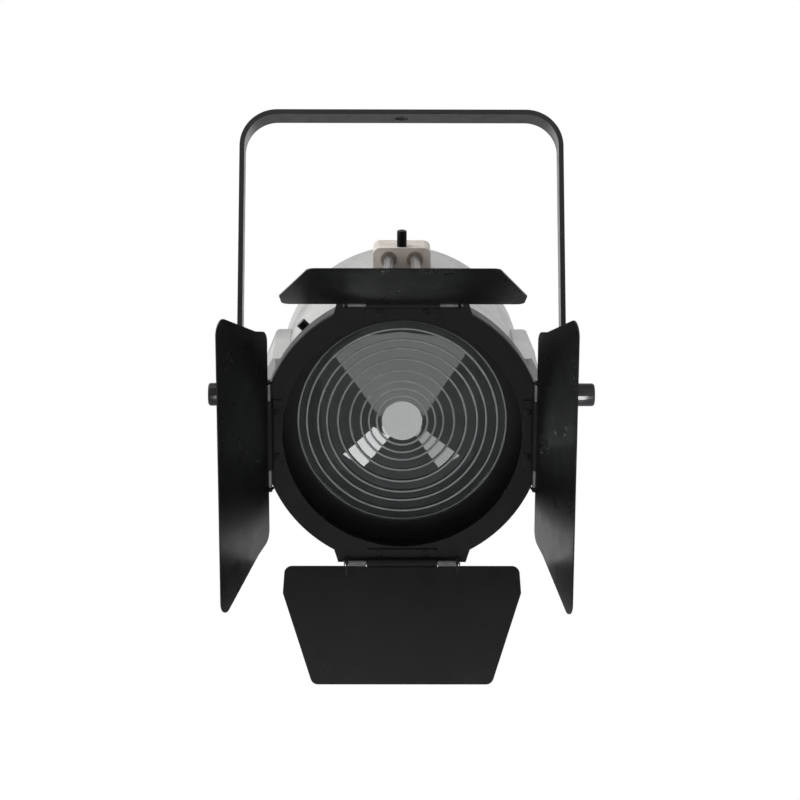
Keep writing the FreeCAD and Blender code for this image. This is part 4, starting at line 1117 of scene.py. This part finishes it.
@dataclass
class Studio:
    """The plain studio: floor, pale surround, soft lights and the camera.

    Places are in metres from the tilt axis, and the camera's bearing and elevation are in degrees.
    seen_glow is the surround's strength where it is seen, fill_glow where it only lights, and floor_glow
    how far the seen floor is lifted towards white. The flag's place is its width, height, distance in
    front of the tilt axis and reach below it.
    """

    pivot: Vector
    distance: float = 2.5
    bearing: float = 0.4
    elevation: float = -11.0
    lens_mm: float = 112.5
    aim_right: float = -1.5 * MM
    aim_up: float = -5.5 * MM
    seen_glow: float = 1.0
    fill_glow: float = 0.5
    floor_size: float = 80.0
    floor_drop: float = 1.25
    floor_glow: float = 0.72
    flag_place: tuple[float, float, float, float] = (0.7, 0.6, 1.15, 0.07)

    def camera(self) -> None:
        """Places the camera low in front of the lamp, looking up at it."""
        rise, turn = math.radians(-self.elevation), math.radians(self.bearing)
        level = math.cos(rise)
        look = Vector((math.sin(turn) * level, math.cos(turn) * level, math.sin(rise)))
        right = Vector((math.cos(turn), -math.sin(turn), 0))
        up = right.cross(look)
        data = bpy.data.cameras.new("camera")
        data.lens = self.lens_mm
        data.sensor_width = 36.0
        made = bpy.data.objects.new("camera", data)
        made.location = self.pivot - look * self.distance + right * self.aim_right + up * self.aim_up
        made.rotation_euler = look.to_track_quat("-Z", "Y").to_euler()
        bpy.context.scene.collection.objects.link(made)
        bpy.context.scene.camera = made

    def surround(self) -> None:
        """Sets a pale surround that is white where it is seen and softer where it only lights."""
        world = bpy.data.worlds.new("studio")
        world.use_nodes = True
        bpy.context.scene.world = world
        tree = world.node_tree
        tree.nodes.clear()
        rays = add_node(tree, "ShaderNodeLightPath").outputs
        larger = {"operation": "MAXIMUM"}
        seen = rays["Is Camera Ray"]
        for kind in ("Is Glossy Ray", "Is Transmission Ray"):
            seen = add_node(tree, "ShaderNodeMath", larger, {0: seen, 1: rays[kind]}).outputs[0]
        bright = {"Color": (1, 1, 1, 1), "Strength": self.seen_glow}
        white = add_node(tree, "ShaderNodeBackground", bright).outputs[0]
        dim = {"Color": linear("#f4f5f7"), "Strength": self.fill_glow}
        soft = add_node(tree, "ShaderNodeBackground", dim).outputs[0]
        mixed = add_node(tree, "ShaderNodeMixShader", None, {0: seen, 1: soft, 2: white})
        add_node(tree, "ShaderNodeOutputWorld", None, {0: mixed.outputs[0]})

    def light(self, name: str, at: tuple[float, float, float], width: float, watts: float) -> None:
        """Adds a square soft light that faces the lamp.

        Args:
            name: The light's name.
            at: Its place from the tilt axis, in metres.
            width: Its side in metres.
            watts: Its power.
        """
        data = bpy.data.lights.new(name, "AREA")
        data.shape = "SQUARE"
        data.size = width
        data.energy = watts
        made = bpy.data.objects.new(name, data)
        made.location = self.pivot + Vector(at)
        made.rotation_euler = (-Vector(at)).to_track_quat("-Z", "Y").to_euler()
        made.visible_camera = False
        bpy.context.scene.collection.objects.link(made)

    def floor(self) -> None:
        """Lays the pale floor well below the hanging lamp; it keeps the lamp's soft shadow."""
        level = self.pivot.z - self.floor_drop
        bpy.ops.mesh.primitive_plane_add(size=self.floor_size, location=(0, 0, level))
        floor = bpy.context.object
        floor.name = "studio_floor"
        paint = bpy.data.materials.new("matt_studio_floor_paint")
        paint.use_nodes = True
        tree = paint.node_tree
        shader = tree.nodes["Principled BSDF"]
        shader.inputs["Roughness"].default_value = 0.9
        colour = blend_colours(tree, mottle(tree, 900.0), "#f2f2f2", "#eeeeee")
        tree.links.new(colour, shader.inputs["Base Color"])
        seen = add_node(tree, "ShaderNodeLightPath").outputs["Is Camera Ray"]
        share = spread(tree, seen, (0.0, 1.0), (0.0, self.floor_glow))
        pale = add_node(tree, "ShaderNodeEmission", {"Color": (1, 1, 1, 1), "Strength": 1.0})
        both = {0: share, 1: shader.outputs[0], 2: pale.outputs[0]}
        mixed = add_node(tree, "ShaderNodeMixShader", None, both)
        tree.links.new(mixed.outputs[0], tree.nodes["Material Output"].inputs[0])
        floor.data.materials.append(paint)

    def flag(self) -> None:
        """Hangs a black cloth in front, which only glossy surfaces see, to darken the lower leaf."""
        width, height, ahead, below = self.flag_place
        middle = self.pivot + Vector((0.0, -ahead, height / 2 - below))
        bpy.ops.mesh.primitive_plane_add(size=1, location=middle, rotation=(math.radians(90), 0, 0))
        cloth = bpy.context.object
        cloth.name = "black_flag"
        cloth.scale = (width, height, 1.0)
        cloth.data.materials.append(HEAT_BLACK.material())
        cloth.visible_camera = False
        cloth.visible_diffuse = False
        cloth.visible_shadow = False
        cloth.visible_transmission = False

    def build(self) -> None:
        """Sets the whole studio up."""
        self.camera()
        self.surround()
        self.light("overhead", (-1.05, -0.45, 1.7), width=1.5, watts=24.0)
        self.light("left_side", (-1.9, -0.5, 0.5), width=0.9, watts=16.0)
        self.flag()
        self.floor()
        bpy.context.scene.view_settings.view_transform = "Standard"


def main() -> None:
    """Builds the pieces in order."""
    logging.basicConfig(level=logging.INFO, format="%(message)s")
    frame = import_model()
    nodes = frame["nodes"]
    head = HeadFrame.of(frame["joints"])
    Studio(head.centre).build()
    CadDress(nodes).dress()
    StepLens(head).build()
    for side in Side:
        TiltKnob(side).build()
    LockKnob(head).build(nodes)
    joints = {joint["name"]: joint for joint in frame["joints"]}
    for quarter in Quarter:
        NotchHem(quarter).build(nodes, joints)
        PinSleeves(quarter).build(joints)
    Screws("hinge_screws", "barn_ring", head.forward, Outline.CROSS, BLACK_SCREW).build(nodes)
    Screws("cap_screws", "head", -head.forward, Outline.HEXAGON, ZINC).build(nodes)


if __name__ == "__main__":
    main()
